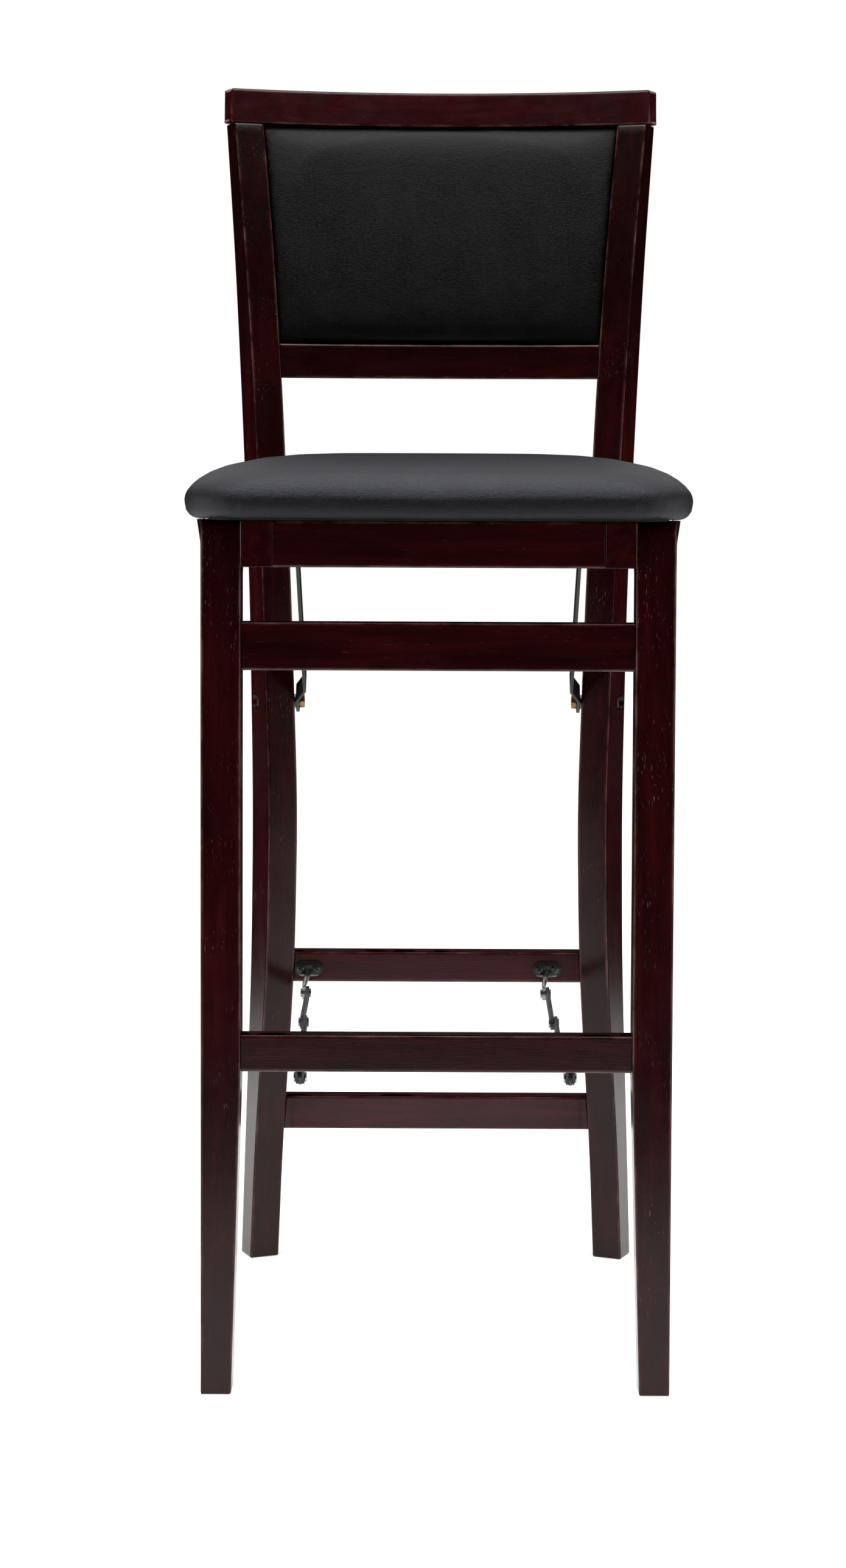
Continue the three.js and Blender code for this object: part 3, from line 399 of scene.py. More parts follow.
def lacquered_hardwood(name, axis, top_shade_level=1.0, low="#160102", middle="#1e0203", high="#290405",
                       bare_pores=0.0):
    """Rubberwood stained to espresso under semi-gloss lacquer: dark red-brown streaks and fine pale pores, with
    painted shade towards the top and a painted highlight on eased edges.
    """
    material, tree = new_material(name)
    place = add(tree, "TexCoord").outputs["Object"]
    along = add(tree, "Mapping", {"Vector": place, "Scale": GRAIN_STRETCH[axis]}).outputs[0]
    # Growth rings show as streaks 6 to 12 mm apart that run for most of a board
    streak = add(tree, "TexNoise", {"Vector": along, "Scale": 7, "Detail": 5, "Roughness": 0.6,
                                    "Distortion": 0.6})
    body = add(tree, "ValToRGB", {"Fac": streak.outputs["Fac"]},
               stops=[(0.3, low), (0.5, middle), (0.72, high)])
    # Pores are 0.3 mm wide and a few millimetres long, here drawn about twice as wide
    pore = add(tree, "TexNoise", {"Vector": along, "Scale": 62, "Detail": 2, "Roughness": 0.7})
    fleck = add(tree, "MapRange", {"Value": pore.outputs["Fac"], "From Min": 0.68, "From Max": 0.8})
    flecked = add(tree, "Mix", {0: fleck.outputs[0], 6: body.outputs[0], 7: colour("#432023")},
                  data_type="RGBA")
    # Here and there a pore was never filled and shows as a pale dash, in patches a finger long
    dash = add(tree, "TexNoise", {"Vector": along, "Scale": 110, "Detail": 1, "Roughness": 0.5})
    patch = add(tree, "TexNoise", {"Vector": place, "Scale": 16, "Detail": 1})
    bare = add(tree, "MapRange", {"Value": patch.outputs["Fac"], "From Min": 0.5, "From Max": 0.66})
    open_pore = add(tree, "MapRange", {"Value": dash.outputs["Fac"], "From Min": 0.7, "From Max": 0.76,
                                       "To Max": bare_pores})
    open_pore = add(tree, "Math", {0: open_pore.outputs[0], 1: bare.outputs[0]}, operation="MULTIPLY")
    flecked = add(tree, "Mix", {0: open_pore.outputs[0], 6: flecked.outputs[2], 7: colour("#8f8078")},
                  data_type="RGBA")
    # Stain gathers darker in broad clouds about a hand wide
    cloud = add(tree, "TexNoise", {"Vector": place, "Scale": 9, "Detail": 2})
    tone = add(tree, "MapRange", {"Value": cloud.outputs["Fac"], "From Min": 0.3, "From Max": 0.7,
                                  "To Min": 0.78, "To Max": 1.2})
    # Towards the stool's top some pieces are darkened, as painted shade
    height = add(tree, "SeparateXYZ", {0: place})
    second = add(tree, "MapRange", {"Value": height.outputs["Z"], "From Min": 0.78, "From Max": 0.95,
                                    "To Min": 1.0, "To Max": top_shade_level})
    tone = add(tree, "Math", {0: tone.outputs[0], 1: second.outputs[0]}, operation="MULTIPLY")
    toned = add(tree, "VectorMath", {0: flecked.outputs[2], 3: tone.outputs[0]}, operation="SCALE")
    # The eased edges are painted paler in short runs, as a painted highlight along them
    edge = add(tree, "Attribute", attribute_name="painted_edge_highlight")
    highlight_break = add(tree, "TexNoise", {"Vector": place, "Scale": 38, "Detail": 3, "Roughness": 0.6})
    run = add(tree, "MapRange", {"Value": highlight_break.outputs["Fac"], "From Min": 0.42, "From Max": 0.7,
                                 "To Min": 0.03, "To Max": 0.42})
    edge_highlight_mask = add(tree, "Math", {0: edge.outputs["Fac"], 1: run.outputs[0]}, operation="MULTIPLY")
    coloured = add(tree, "Mix", {0: edge_highlight_mask.outputs[0], 6: toned.outputs[0], 7: colour("#77504e")},
                   data_type="RGBA")
    sheen_break = add(tree, "TexNoise", {"Vector": place, "Scale": 55, "Detail": 3})
    gloss = add(tree, "MapRange", {"Value": sheen_break.outputs["Fac"], "To Min": 0.15, "To Max": 0.29})
    relief = add(tree, "Bump", {"Height": pore.outputs["Fac"], "Strength": 0.12, "Distance": 0.0004})
    shader = add(tree, "BsdfPrincipled", {
        "Base Color": coloured.outputs[2], "Roughness": gloss.outputs[0], "Normal": relief.outputs[0],
        "IOR": 1.5, "Specular IOR Level": 0.225})
    finish_material(tree, shader)
    return material


def grained_leatherette(name, low, high, specular, roughness, crumple_depth, tint, crease_strength):
    """Black vinyl leathercloth, calendered with a fine pebble grain: soft broad highlights, charcoal body."""
    material, tree = new_material(name)
    place = add(tree, "TexCoord").outputs["Object"]
    # Pebbles are 0.6 to 1 mm across, drawn here at 1.4 mm so that they show
    pebble = add(tree, "TexVoronoi", {"Vector": place, "Scale": 700}, feature="DISTANCE_TO_EDGE")
    crease = add(tree, "MapRange", {"Value": pebble.outputs["Distance"], "From Max": 0.12})
    crumple = add(tree, "TexNoise", {"Vector": place, "Scale": 26, "Detail": 4, "Roughness": 0.55})
    # Fine creases run across the width, 3 to 8 mm long and about 1 mm wide
    across = add(tree, "Mapping", {"Vector": place, "Scale": (0.32, 1, 1)}).outputs[0]
    wrinkle = add(tree, "TexNoise", {"Vector": across, "Scale": 420, "Detail": 3, "Roughness": 0.6,
                                     "Distortion": 1.2})
    tone = add(tree, "ValToRGB", {"Fac": crumple.outputs["Fac"]},
               stops=[(0.3, low), (0.7, high)])
    # The grain's valleys are darkened to 0.7 of the colour, as painted shade
    shade = add(tree, "MapRange", {"Value": crease.outputs[0], "To Min": 0.7, "To Max": 1.0})
    grain_shaded = add(tree, "VectorMath", {0: tone.outputs[0], 3: shade.outputs[0]}, operation="SCALE")
    gloss = add(tree, "MapRange", {"Value": crumple.outputs["Fac"], "To Min": roughness,
                                   "To Max": roughness + 0.12})
    grain = add(tree, "Bump", {"Height": crease.outputs[0], "Strength": 0.35, "Distance": 0.0003})
    creased = add(tree, "Bump", {"Height": wrinkle.outputs["Fac"], "Strength": crease_strength,
                                 "Distance": 0.0006, "Normal": grain.outputs[0]})
    relief = add(tree, "Bump", {"Height": crumple.outputs["Fac"], "Strength": 0.2, "Distance": crumple_depth,
                                "Normal": creased.outputs[0]})
    shader = add(tree, "BsdfPrincipled", {
        "Base Color": grain_shaded.outputs[0], "Roughness": gloss.outputs[0], "Normal": relief.outputs[0],
        "IOR": 1.5, "Specular IOR Level": specular, "Specular Tint": colour(tint)})
    finish_material(tree, shader)
    return material


def lining_cloth(name):
    """Black spun-bonded dust cover under the seat and behind the back: matt, with a dimpled bond pattern."""
    material, tree = new_material(name)
    place = add(tree, "TexCoord").outputs["Object"]
    # Bond points sit 1 mm apart, drawn at 1.6 mm
    dimple = add(tree, "TexVoronoi", {"Vector": place, "Scale": 620, "Randomness": 0.25})
    blotch = add(tree, "TexNoise", {"Vector": place, "Scale": 60, "Detail": 3})
    tone = add(tree, "ValToRGB", {"Fac": blotch.outputs["Fac"]},
               stops=[(0.3, "#111112"), (0.7, "#1c1c1e")])
    relief = add(tree, "Bump", {"Height": dimple.outputs["Distance"], "Strength": 0.4, "Distance": 0.0004})
    shader = add(tree, "BsdfPrincipled", {
        "Base Color": tone.outputs[0], "Roughness": 0.85, "Normal": relief.outputs[0],
        "Specular IOR Level": 0.25})
    finish_material(tree, shader)
    return material


def coated_steel(name, stops, rough, peel_depth):
    """Punched steel strip with black electrocoat: satin, orange-peeled, greyer where it has rubbed."""
    material, tree = new_material(name)
    place = add(tree, "TexCoord").outputs["Object"]
    wear_and_painted_highlight = add(tree, "TexNoise", {"Vector": place, "Scale": 260, "Detail": 5, "Roughness": 0.7})
    tone = add(tree, "ValToRGB", {"Fac": wear_and_painted_highlight.outputs["Fac"]}, stops=stops)
    peel = add(tree, "TexNoise", {"Vector": place, "Scale": 700, "Detail": 2})
    relief = add(tree, "Bump", {"Height": peel.outputs["Fac"], "Strength": 0.5, "Distance": peel_depth})
    shader = add(tree, "BsdfPrincipled", {
        "Base Color": tone.outputs[0], "Roughness": rough, "Normal": relief.outputs[0],
        "Specular IOR Level": 0.36})
    finish_material(tree, shader)
    return material


def pressed_bracket_steel(name, edge_height):
    """Pressed plate in olive-black satin whose neck, below a height, has been rubbed to bright metal."""
    material, tree = new_material(name)
    place = add(tree, "TexCoord").outputs["Object"]
    wear_and_painted_highlight = add(tree, "TexNoise", {"Vector": place, "Scale": 300, "Detail": 4, "Roughness": 0.6})
    height = add(tree, "SeparateXYZ", {0: place})
    wander = add(tree, "Math", {0: wear_and_painted_highlight.outputs["Fac"], 1: 0.004, 2: height.outputs["Z"]},
                 operation="MULTIPLY_ADD")
    bare = add(tree, "MapRange", {"Value": wander.outputs[0], "From Min": edge_height + 0.003,
                                  "From Max": edge_height})
    tone = add(tree, "Mix", {0: bare.outputs[0], 6: colour("#141411"), 7: colour("#8d8d88")},
               data_type="RGBA")
    gloss = add(tree, "MapRange", {"Value": wear_and_painted_highlight.outputs["Fac"], "To Min": 0.3, "To Max": 0.46})
    shader = add(tree, "BsdfPrincipled", {
        "Base Color": tone.outputs[2], "Roughness": gloss.outputs[0], "Metallic": bare.outputs[0],
        "Specular IOR Level": 0.26})
    finish_material(tree, shader)
    return material


def plated_steel(name, low, high, roughness):
    """Turned or headed steel with thin plating: metal colour, broken gloss, faint stain in patches."""
    material, tree = new_material(name)
    place = add(tree, "TexCoord").outputs["Object"]
    patch = add(tree, "TexNoise", {"Vector": place, "Scale": 320, "Detail": 4, "Roughness": 0.65})
    tone = add(tree, "ValToRGB", {"Fac": patch.outputs["Fac"]}, stops=[(0.35, low), (0.7, high)])
    gloss = add(tree, "MapRange", {"Value": patch.outputs["Fac"], "To Min": roughness - 0.08,
                                   "To Max": roughness + 0.12})
    relief = add(tree, "Bump", {"Height": patch.outputs["Fac"], "Strength": 0.08, "Distance": 0.0003})
    shader = add(tree, "BsdfPrincipled", {
        "Base Color": tone.outputs[0], "Roughness": gloss.outputs[0], "Normal": relief.outputs[0],
        "Metallic": 1.0})
    finish_material(tree, shader)
    return material


# The uprights and the shaded copy are darkened towards the stool's top as painted shade
wood_upright = lacquered_hardwood("espresso_lacquered_rubberwood_upright", "Z", 0.45, bare_pores=0.4)
wood_across = lacquered_hardwood("espresso_lacquered_rubberwood_across", "X")
wood_shaded = lacquered_hardwood("espresso_lacquered_rubberwood_shaded", "X", 0.3)
# A lighter copy of the same stain, as painted light on the rear stretchers
wood_painted_lit = lacquered_hardwood(
    "espresso_lacquered_rubberwood_painted_lit", "X", low="#23070a", middle="#2f0a0d", high="#3c0e11")
wood_deep = lacquered_hardwood("espresso_lacquered_rubberwood_deep", "Y")
# The seat vinyl's reflections are tinted cool blue, as a painted colour of the light
leatherette = grained_leatherette(
    "pebble_grained_black_vinyl_seat", "#080709", "#0e0d10", specular=0.31, roughness=0.42,
    crumple_depth=0.0015, tint="#eceffc", crease_strength=0.55)
# The back's vinyl is a darker copy of the seat's with weaker reflections, as painted shade
shaded_back_leatherette = grained_leatherette(
    "pebble_grained_black_vinyl_back_painted_shade", "#040304", "#090708", specular=0.12, roughness=0.27,
    crumple_depth=0.0003, tint="#ffffff", crease_strength=0.3)
lining = lining_cloth("spunbonded_dust_cover")
black_steel = coated_steel(
    "electrocoated_strip_steel", [(0.45, "#0b0b0a"), (0.66, "#181714"), (0.8, "#4a4a48")], 0.38, 0.0001)
bolt_steel = coated_steel(
    "black_oxide_bolt_steel", [(0.45, "#070605"), (0.66, "#0e0c0b"), (0.8, "#1c1a18")], 0.42, 0.0001)
worn_strip = coated_steel(
    "electrocoated_strip_steel_worn", [(0.35, "#141212"), (0.52, "#302c2d"), (0.7, "#686466")], 0.5, 0.0004)
bracket_steel = pressed_bracket_steel("pressed_bracket_steel", UPPER_STRETCHER[0] * 0.001 + 0.007)
bright_steel = plated_steel("bright_zinc_plated_steel", "#77787b", "#a9aaad", 0.3)
screw_steel = plated_steel("black_zinc_plated_steel", "#2a2a2a", "#5a5a5a", 0.32)
yellow_zinc = plated_steel("yellow_zinc_plated_steel", "#7c5f45", "#a58460", 0.34)

# The first word here that a node's name holds says what it is made of
MATERIAL_BY_WORD = {
    "stile": wood_upright, "front_leg": wood_upright, "side_rail": wood_deep, "rail": wood_across,
    "stretcher": wood_across, "rung": wood_across, "board": lining, "cushion": leatherette,
    "screw": bright_steel, "pin_": bright_steel, "rivet": bright_steel, "spacer": bright_steel,
    "nut": yellow_zinc, "stay_bracket": bracket_steel, "bracket": black_steel, "bolt": black_steel,
    "stay": worn_strip, "link": black_steel,
}


def dress_cad_nodes():
    """Gives every carried-over node its own finish by the words in its name."""
    for name, node in frame["nodes"].items():
        node.data.materials.clear()
        node.data.materials.append(next(m for word, m in MATERIAL_BY_WORD.items() if word in name))


# The rigid solids that keep the frame's own shape, and how wide their edges are broken
EASED_WORDS = ("link_left", "link_right", "stay", "footrest_bracket", "side_rail", "_pin", "rivet", "spacer")
RAIL_EASE = 0.0012
STEEL_EASE = 0.0003
MERGE_DISTANCE = 1e-6


def ease_solids():
    """Stands a copy in for each of those solids: triangles joined, then a narrow bevel along sharp edges.

    The rails stay flat-shaded, since their long triangles would shade unevenly.
    """
    for name, node in frame["nodes"].items():
        if not any(word in name for word in EASED_WORDS):
            continue
        joined = bmesh.new()
        joined.from_mesh(node.data)
        bmesh.ops.remove_doubles(joined, verts=joined.verts, dist=MERGE_DISTANCE)
        mesh = bpy.data.meshes.new(f"{name}_eased")
        joined.to_mesh(mesh)
        joined.free()
        is_rail = "rail" in name
        mesh.polygons.foreach_set("use_smooth", np.full(len(mesh.polygons), not is_rail))
        made = piece(f"{name}_eased", mesh, node.data.materials[0], body_of(node)[0], [name])
        edge = made.modifiers.new("broken_edges", "BEVEL")
        edge.width = RAIL_EASE if is_rail else STEEL_EASE
        edge.segments = 1
        edge.limit_method = "ANGLE"
        edge.angle_limit = math.radians(40)
        keep_modifiers(made)
        made.data.set_sharp_from_angle(angle=math.radians(30))


# Wooden pieces
def make_stile(side, word):
    """Curved board: a horizontal section at each height, turned in plan by the toe angle."""
    z, inset = eased_stations(0, STILE_HEIGHT, WOOD_EASE, 150)
    front = (stile_front(z) - REAR_FOOT_REACH) / math.cos(STILE_TOE)
    back = (stile_back(z) - REAR_FOOT_REACH) / math.cos(STILE_TOE)
    deep, across = eased_section(front, back, 0 * z - STILE_THICKNESS, 0 * z, inset)
    x = REAR_FOOT_HALF_WIDTH + deep * math.sin(STILE_TOE) + across * math.cos(STILE_TOE)
    y = REAR_FOOT_REACH + deep * math.cos(STILE_TOE) - across * math.sin(STILE_TOE)
    rings = np.stack([x, y, z[:, None] + 0 * x], axis=-1)
    mesh = mesh_from_rings(f"leg_board_{word}", in_frame(mirror_x(rings, side)), painted_edge_highlight(inset))
    node = f"stile_{word}"
    made = piece(f"rear_leg_{word}", mesh, wood_upright, "rear_frame", [node])
    reach = stile_outer_x(LINK_FOOT[0]) - COUNTERBORE
    sink_pocket(made, side, reach, *LINK_FOOT)
    return made


def sink_pocket(target, side, floor_x, y, z):
    """Cuts the round pocket for a bolt's head into the outer face."""
    turn = np.linspace(0, 2 * math.pi, 32, endpoint=False)
    radius = BOLT_HEAD_RADIUS + GAP
    ring = np.stack([0 * turn, y + radius * np.cos(turn), z + radius * np.sin(turn)], axis=-1)
    rings = np.stack([ring + [floor_x, 0, 0], ring + [floor_x + 40, 0, 0]])
    cutter = new_object("pocket_cutter", mesh_from_rings("pocket_cutter", in_frame(mirror_x(rings, side))))
    cut = target.modifiers.new("pocket", "BOOLEAN")
    cut.operation = "DIFFERENCE"
    cut.solver = "MANIFOLD"
    cut.object = cutter
    keep_modifiers(target)
    bpy.data.objects.remove(cutter)
    target.data.set_sharp_from_angle(angle=math.radians(40))


def keep_modifiers(target):
    """Makes a piece's modifiers part of its mesh."""
    graph = bpy.context.evaluated_depsgraph_get()
    graph.update()
    finished = bpy.data.meshes.new_from_object(target.evaluated_get(graph))
    target.modifiers.clear()
    target.data = finished


def make_front_leg(side, word):
    """Leaning square leg: horizontal sections, a round nose on top in front and a heel behind it."""
    top = PIVOT_HEIGHT + LEG_HEAD_RADIUS
    low_part, low_inset = eased_stations(0, PIVOT_HEIGHT - LEG_HEEL_HEIGHT, WOOD_EASE, 70)
    upper_end = CORNER_POINTS + 1
    low_part, low_inset = low_part[:-upper_end], low_inset[:-upper_end]
    turn = np.linspace(0, math.radians(84), 22)
    heel = np.linspace(PIVOT_HEIGHT - LEG_HEEL_HEIGHT, PIVOT_HEIGHT, 14)[:-1]
    nose = PIVOT_HEIGHT + LEG_HEAD_RADIUS * np.sin(turn)
    z = np.concatenate([low_part, heel, nose, [top, top]])
    inset = np.concatenate([low_inset, 0 * heel, 0 * nose, [1.0, 3.0]])
    circle = np.sqrt(np.maximum(LEG_HEAD_RADIUS**2 - np.maximum(z - PIVOT_HEIGHT, 0) ** 2, 0))
    front = np.where(z < PIVOT_HEIGHT, LEG_LEAN * z, LEG_PIVOT_REACH - circle)
    rise = np.clip((z - (PIVOT_HEIGHT - LEG_HEEL_HEIGHT)) / LEG_HEEL_HEIGHT, 0, 1)
    straight = LEG_DEPTH + LEG_LEAN * z
    back = np.where(rise <= 0, straight, straight + (LEG_PIVOT_REACH + LEG_HEEL_REACH - straight)
                    * (1 - (1 - rise) ** 2) ** 0.9)
    y, x = eased_section(front, back, 0 * z + LEG_HALF_WIDTH - LEG_THICKNESS, 0 * z + LEG_HALF_WIDTH, inset)
    height = z[:, None] + 0 * x
    inward = (LEG_HALF_WIDTH - x) / LEG_THICKNESS
    taper = LEG_TAPER * np.maximum(0, 1 - height / LEG_TAPER_HEIGHT) * inward
    flare_rise = np.maximum(0, (height - top + LEG_FLARE_HEIGHT) / LEG_FLARE_HEIGHT)
    rearward = np.clip((y - LEG_LEAN * height) / (LEG_DEPTH + LEG_HEEL_REACH - LEG_HEAD_RADIUS / 2), 0, 1)
    x = x + taper + LEG_HEAD_FLARE * flare_rise * rearward * (1 - inward)
    rings = np.stack([x, y, height], axis=-1)
    mesh = mesh_from_rings(f"front_leg_board_{word}", in_frame(mirror_x(rings, side)), painted_edge_highlight(inset))
    node = f"front_leg_{word}"
    made = piece(f"{node}_wood", mesh, wood_upright, "front_frame", [node])
    sink_pocket(made, side, LEG_HALF_WIDTH - COUNTERBORE / 2, LEG_PIVOT_REACH, PIVOT_HEIGHT)
    return made


def straight_bar(name, node, half_width, front, depth, base, height, body):
    """Bar across the stool: a rectangle in side view with eased edges, carried from side to side."""
    x, inset = eased_stations(-half_width, half_width, 0.4, 30)
    y, z = eased_section(0 * x + front, 0 * x + front + depth, 0 * x + base, 0 * x + base + height, inset)
    rings = np.stack([x[:, None] + 0 * y, y, z], axis=-1)
    return wooden_piece(name, node, rings, inset, wood_across, body)


def rear_stretcher(name, node, base, height):
    """Stretcher between the rear legs, its ends cut to their turned faces."""
    front = float(stile_front(np.array(base + height / 2))) + STILE_THICKNESS * math.sin(STILE_TOE)
    front += STRETCHER_SETBACK
    share, inset = eased_stations(-1, 1, GAP, 30, GAP / REAR_FOOT_HALF_WIDTH)
    y, z = eased_section(0 * share + front, 0 * share + front + STRETCHER_THICKNESS,
                         0 * share + base, 0 * share + base + height, inset)
    x = share[:, None] * (stile_inner_x(y) - GAP / math.cos(STILE_TOE))
    rings = np.stack([x, y, z], axis=-1)
    return wooden_piece(name, node, rings, inset, wood_painted_lit, "rear_frame")


def curved_rail(name, node, wood, low, height, thickness, limit, ease_ends):
    """Rail on the back's circle: setback by height, carried round by a share of the end angle."""
    share, inset = eased_stations(-1, 1, ease_ends, 110, ease_ends / CREST_HALF_WIDTH)
    flat = 0 * share
    setback, z = eased_section(flat, flat + thickness, flat + low, flat + low + height, inset)
    rings = back_point(share[:, None] * limit(z, setback), z, setback)
    return wooden_piece(name, node, rings, inset, wood, "rear_frame")


def make_wooden_pieces():
    """Legs, back rails, stretchers, rungs and the seat frame's cross rails."""
    for side, word in ((-1, "left"), (1, "right")):
        make_stile(side, word)
        make_front_leg(side, word)
    crest_limit = math.asin(CREST_HALF_WIDTH / (BACK_RADIUS + CREST_THICKNESS))
    curved_rail("top_rail", "crest_rail", wood_across, STILE_HEIGHT + GAP, CREST_HEIGHT, CREST_THICKNESS,
                lambda z, setback: crest_limit + 0 * z, WOOD_EASE)
    curved_rail("bottom_back_rail", "lower_back_rail", wood_shaded, LOWER_RAIL_BASE, LOWER_RAIL_HEIGHT,
                LOWER_RAIL_THICKNESS, angle_at_stile, GAP)
    rear_stretcher("stretcher_upper", "rear_upper_stretcher", *UPPER_STRETCHER)
    rear_stretcher("stretcher_lower", "rear_lower_stretcher", *LOWER_STRETCHER)
    leg_inner = LEG_HALF_WIDTH - LEG_THICKNESS - GAP
    for name, node, (base, height, depth) in (("rung_upper", "upper_front_rung", UPPER_RUNG),
                                              ("rung_footrest", "footrest_rung", FOOTREST)):
        front = LEG_LEAN * (base + height) + RUNG_SETBACK
        straight_bar(name, node, leg_inner, front, depth, base, height, "front_frame")
    rail_inner = SEAT_FRAME_HALF_WIDTH - SEAT_RAIL_THICKNESS - GAP
    base = SEAT_FRAME_TOP - SEAT_FRAME_HEIGHT
    rear_front = SEAT_FRONT_REACH + SEAT_FRAME_LENGTH - SEAT_CROSS_THICKNESS
    for word, front in (("front", SEAT_FRONT_REACH), ("rear", rear_front)):
        straight_bar(f"seat_rail_{word}", f"seat_{word}_rail", rail_inner, front, SEAT_CROSS_THICKNESS,
                     base, SEAT_FRAME_HEIGHT, "seat")


# Bolts, nuts and screws
def turned(axis, centre, side, radius, height):
    """Skin turned round an axis: each row is a radius and a height, which may both change with the angle."""
    turn = np.arange(ROUND_POINTS) * 2 * math.pi / ROUND_POINTS
    radius = np.broadcast_to(radius, (radius.shape[0], ROUND_POINTS))
    height = np.broadcast_to(height, radius.shape)
    first, second = radius * np.cos(turn), radius * np.sin(turn)
    along = side * height
    points = (along, first, second) if axis == "X" else (first, along, second)
    return np.stack(points, axis=-1) + np.array(centre)


def hexagon():
    """Share of a hexagon's corner radius at each angle round it."""
    turn = np.arange(ROUND_POINTS) * 2 * math.pi / ROUND_POINTS
    sixth = math.pi / 3
    return math.cos(sixth / 2) / np.cos((turn % sixth) - sixth / 2)


def socket_bolt(name, node, body, side, head_x, tip_x, y, z):
    """Button-head bolt along X: a plain shank, a domed head and a six-sided socket in it."""
    length = head_x - tip_x
    rows = np.array([(0.0, -length), (3.6, -length), (4.0, 0.5 - length), (4.0, -0.2), (4.0, 0.0), (7.2, 0.0),
                     (7.5, 0.3), (7.5, 1.2), (7.1, 1.9), (6.2, 2.6), (5.0, 3.1), (3.8, 3.4), (3.1, 3.5),
                     (2.9, 3.4), (2.8, 3.0), (2.7, 1.6), (0.0, 1.5)])
    first_socket_row = 12
    in_socket = np.arange(len(rows))[:, None] >= first_socket_row
    radius = rows[:, :1] * np.where(in_socket, hexagon(), 1)
    rings = turned("X", (side * head_x, y, z), side, radius, rows[:, 1:])
    mesh = mesh_from_rings(name, in_frame(rings))
    mesh.set_sharp_from_angle(angle=math.radians(50))
    return piece(name, mesh, bolt_steel, body, [node])


def plated_nut(name, node, body, side, outer_x, y, z):
    """Hexagon nut along X: chamfered corners outside, a plain bore inside."""
    height = NUT_HEIGHT
    corner = NUT_RADIUS * hexagon()
    round_face = np.minimum(corner, NUT_RADIUS * 0.9)
    bore, bore_mouth = 4.3 + 0 * corner, 4.8 + 0 * corner
    rows = [(bore, 0.4), (bore_mouth, 0.0), (round_face, 0.0), (corner, 0.7),
            (corner, height - 0.7), (round_face, height), (bore_mouth, height), (bore, height - 0.4)]
    radius = np.stack([row[0] for row in rows])
    level = np.array([row[1] for row in rows])[:, None]
    rings = turned("X", (side * (outer_x - height), y, z), side, radius, level)
    mesh = mesh_from_rings(name, in_frame(rings), loop=True)
    mesh.set_sharp_from_angle(angle=math.radians(25))
    return piece(name, mesh, yellow_zinc, body, [node])


def cross_screw(name, node, body):
    """Cross-recess wood screw along Y where its node is: a low dome, sunk where the cross's two bars lie."""
    low, high = (np.array(corner) * 1000 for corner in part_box(node))
    faces_front = body == "rear_frame"
    centre = (low + high) / 2
    centre[1] = low[1] + SCREW_HEAD_HEIGHT if faces_front else high[1] - SCREW_HEAD_HEIGHT
    side = -1 if faces_front else 1
    turn = np.arange(ROUND_POINTS) * 2 * math.pi / ROUND_POINTS
    reach = np.linspace(0, 1, 15)[:, None] * SCREW_HEAD_RADIUS
    across, upright = reach * np.cos(turn + 0.4), reach * np.sin(turn + 0.4)
    dome = SCREW_HEAD_HEIGHT * np.sqrt(np.clip(1 - 0.72 * (reach / SCREW_HEAD_RADIUS) ** 2.4, 0, 1))
    near = np.minimum(np.abs(across), np.abs(upright))
    far = np.maximum(np.abs(across), np.abs(upright))
    sunk = np.clip((CROSS_HALF_WIDTH - near) / 0.25, 0, 1) * np.clip((CROSS_REACH - far) / 0.4, 0, 1)
    top = dome - CROSS_DEPTH * sunk
    shank = np.array([(3.6, 0.0), (1.8, 0.0), (1.8, -9.0), (1.5, -12.0), (0.0, -14.0)])
    radius = np.vstack([reach + 0 * turn, shank[:, :1] + 0 * turn])
    height = np.vstack([top, shank[:, 1:] + 0 * turn])
    mesh = mesh_from_rings(name, turned("Y", centre, side, radius, height) * 0.001)
    mesh.set_sharp_from_angle(angle=math.radians(60))
    return piece(name, mesh, screw_steel, body, [node])


def make_hardware():
    """Bolts and nuts of the three pivots at each side, and the brackets' screws."""
    rail_inner = SEAT_FRAME_HALF_WIDTH - SEAT_RAIL_THICKNESS
    foot_head = stile_outer_x(LINK_FOOT[0]) - COUNTERBORE + GAP
    pivot_head = LEG_HALF_WIDTH - COUNTERBORE / 2 + GAP
    for side, word in ((-1, "left"), (1, "right")):
        for part, body, head, nut, (y, z) in (
                ("link_foot", "rear_frame", foot_head, LINK_FOOT_PLANE - GAP, LINK_FOOT),
                ("link_head", "seat", SEAT_FRAME_HALF_WIDTH + GAP, LINK_PLANE - GAP, LINK_HEAD),
                ("leg_pivot", "seat", pivot_head, rail_inner - GAP, (LEG_PIVOT_REACH, PIVOT_HEIGHT))):
            socket_bolt(f"{part}_button_bolt_{word}", f"{part}_bolt_{word}", body, side, head,
                        nut - NUT_HEIGHT, y, z)
            plated_nut(f"{part}_hex_nut_{word}", f"{part}_nut_{word}", body, side, nut, y, z)
        for number in (1, 2):
            end = f"{word}_{number}"
            cross_screw(f"bracket_cross_screw_{end}", f"bracket_screw_{end}", "rear_frame")
            cross_screw(f"footrest_cross_screw_{end}", f"footrest_screw_{end}", "front_frame")


# Cushions
def at_vertices(mesh, what):
    """Places or normals of a mesh's vertices, a row each."""
    values = np.zeros(len(mesh.vertices) * 3, np.float32)
    mesh.vertices.foreach_get(what, values)
    return values.reshape(-1, 3)


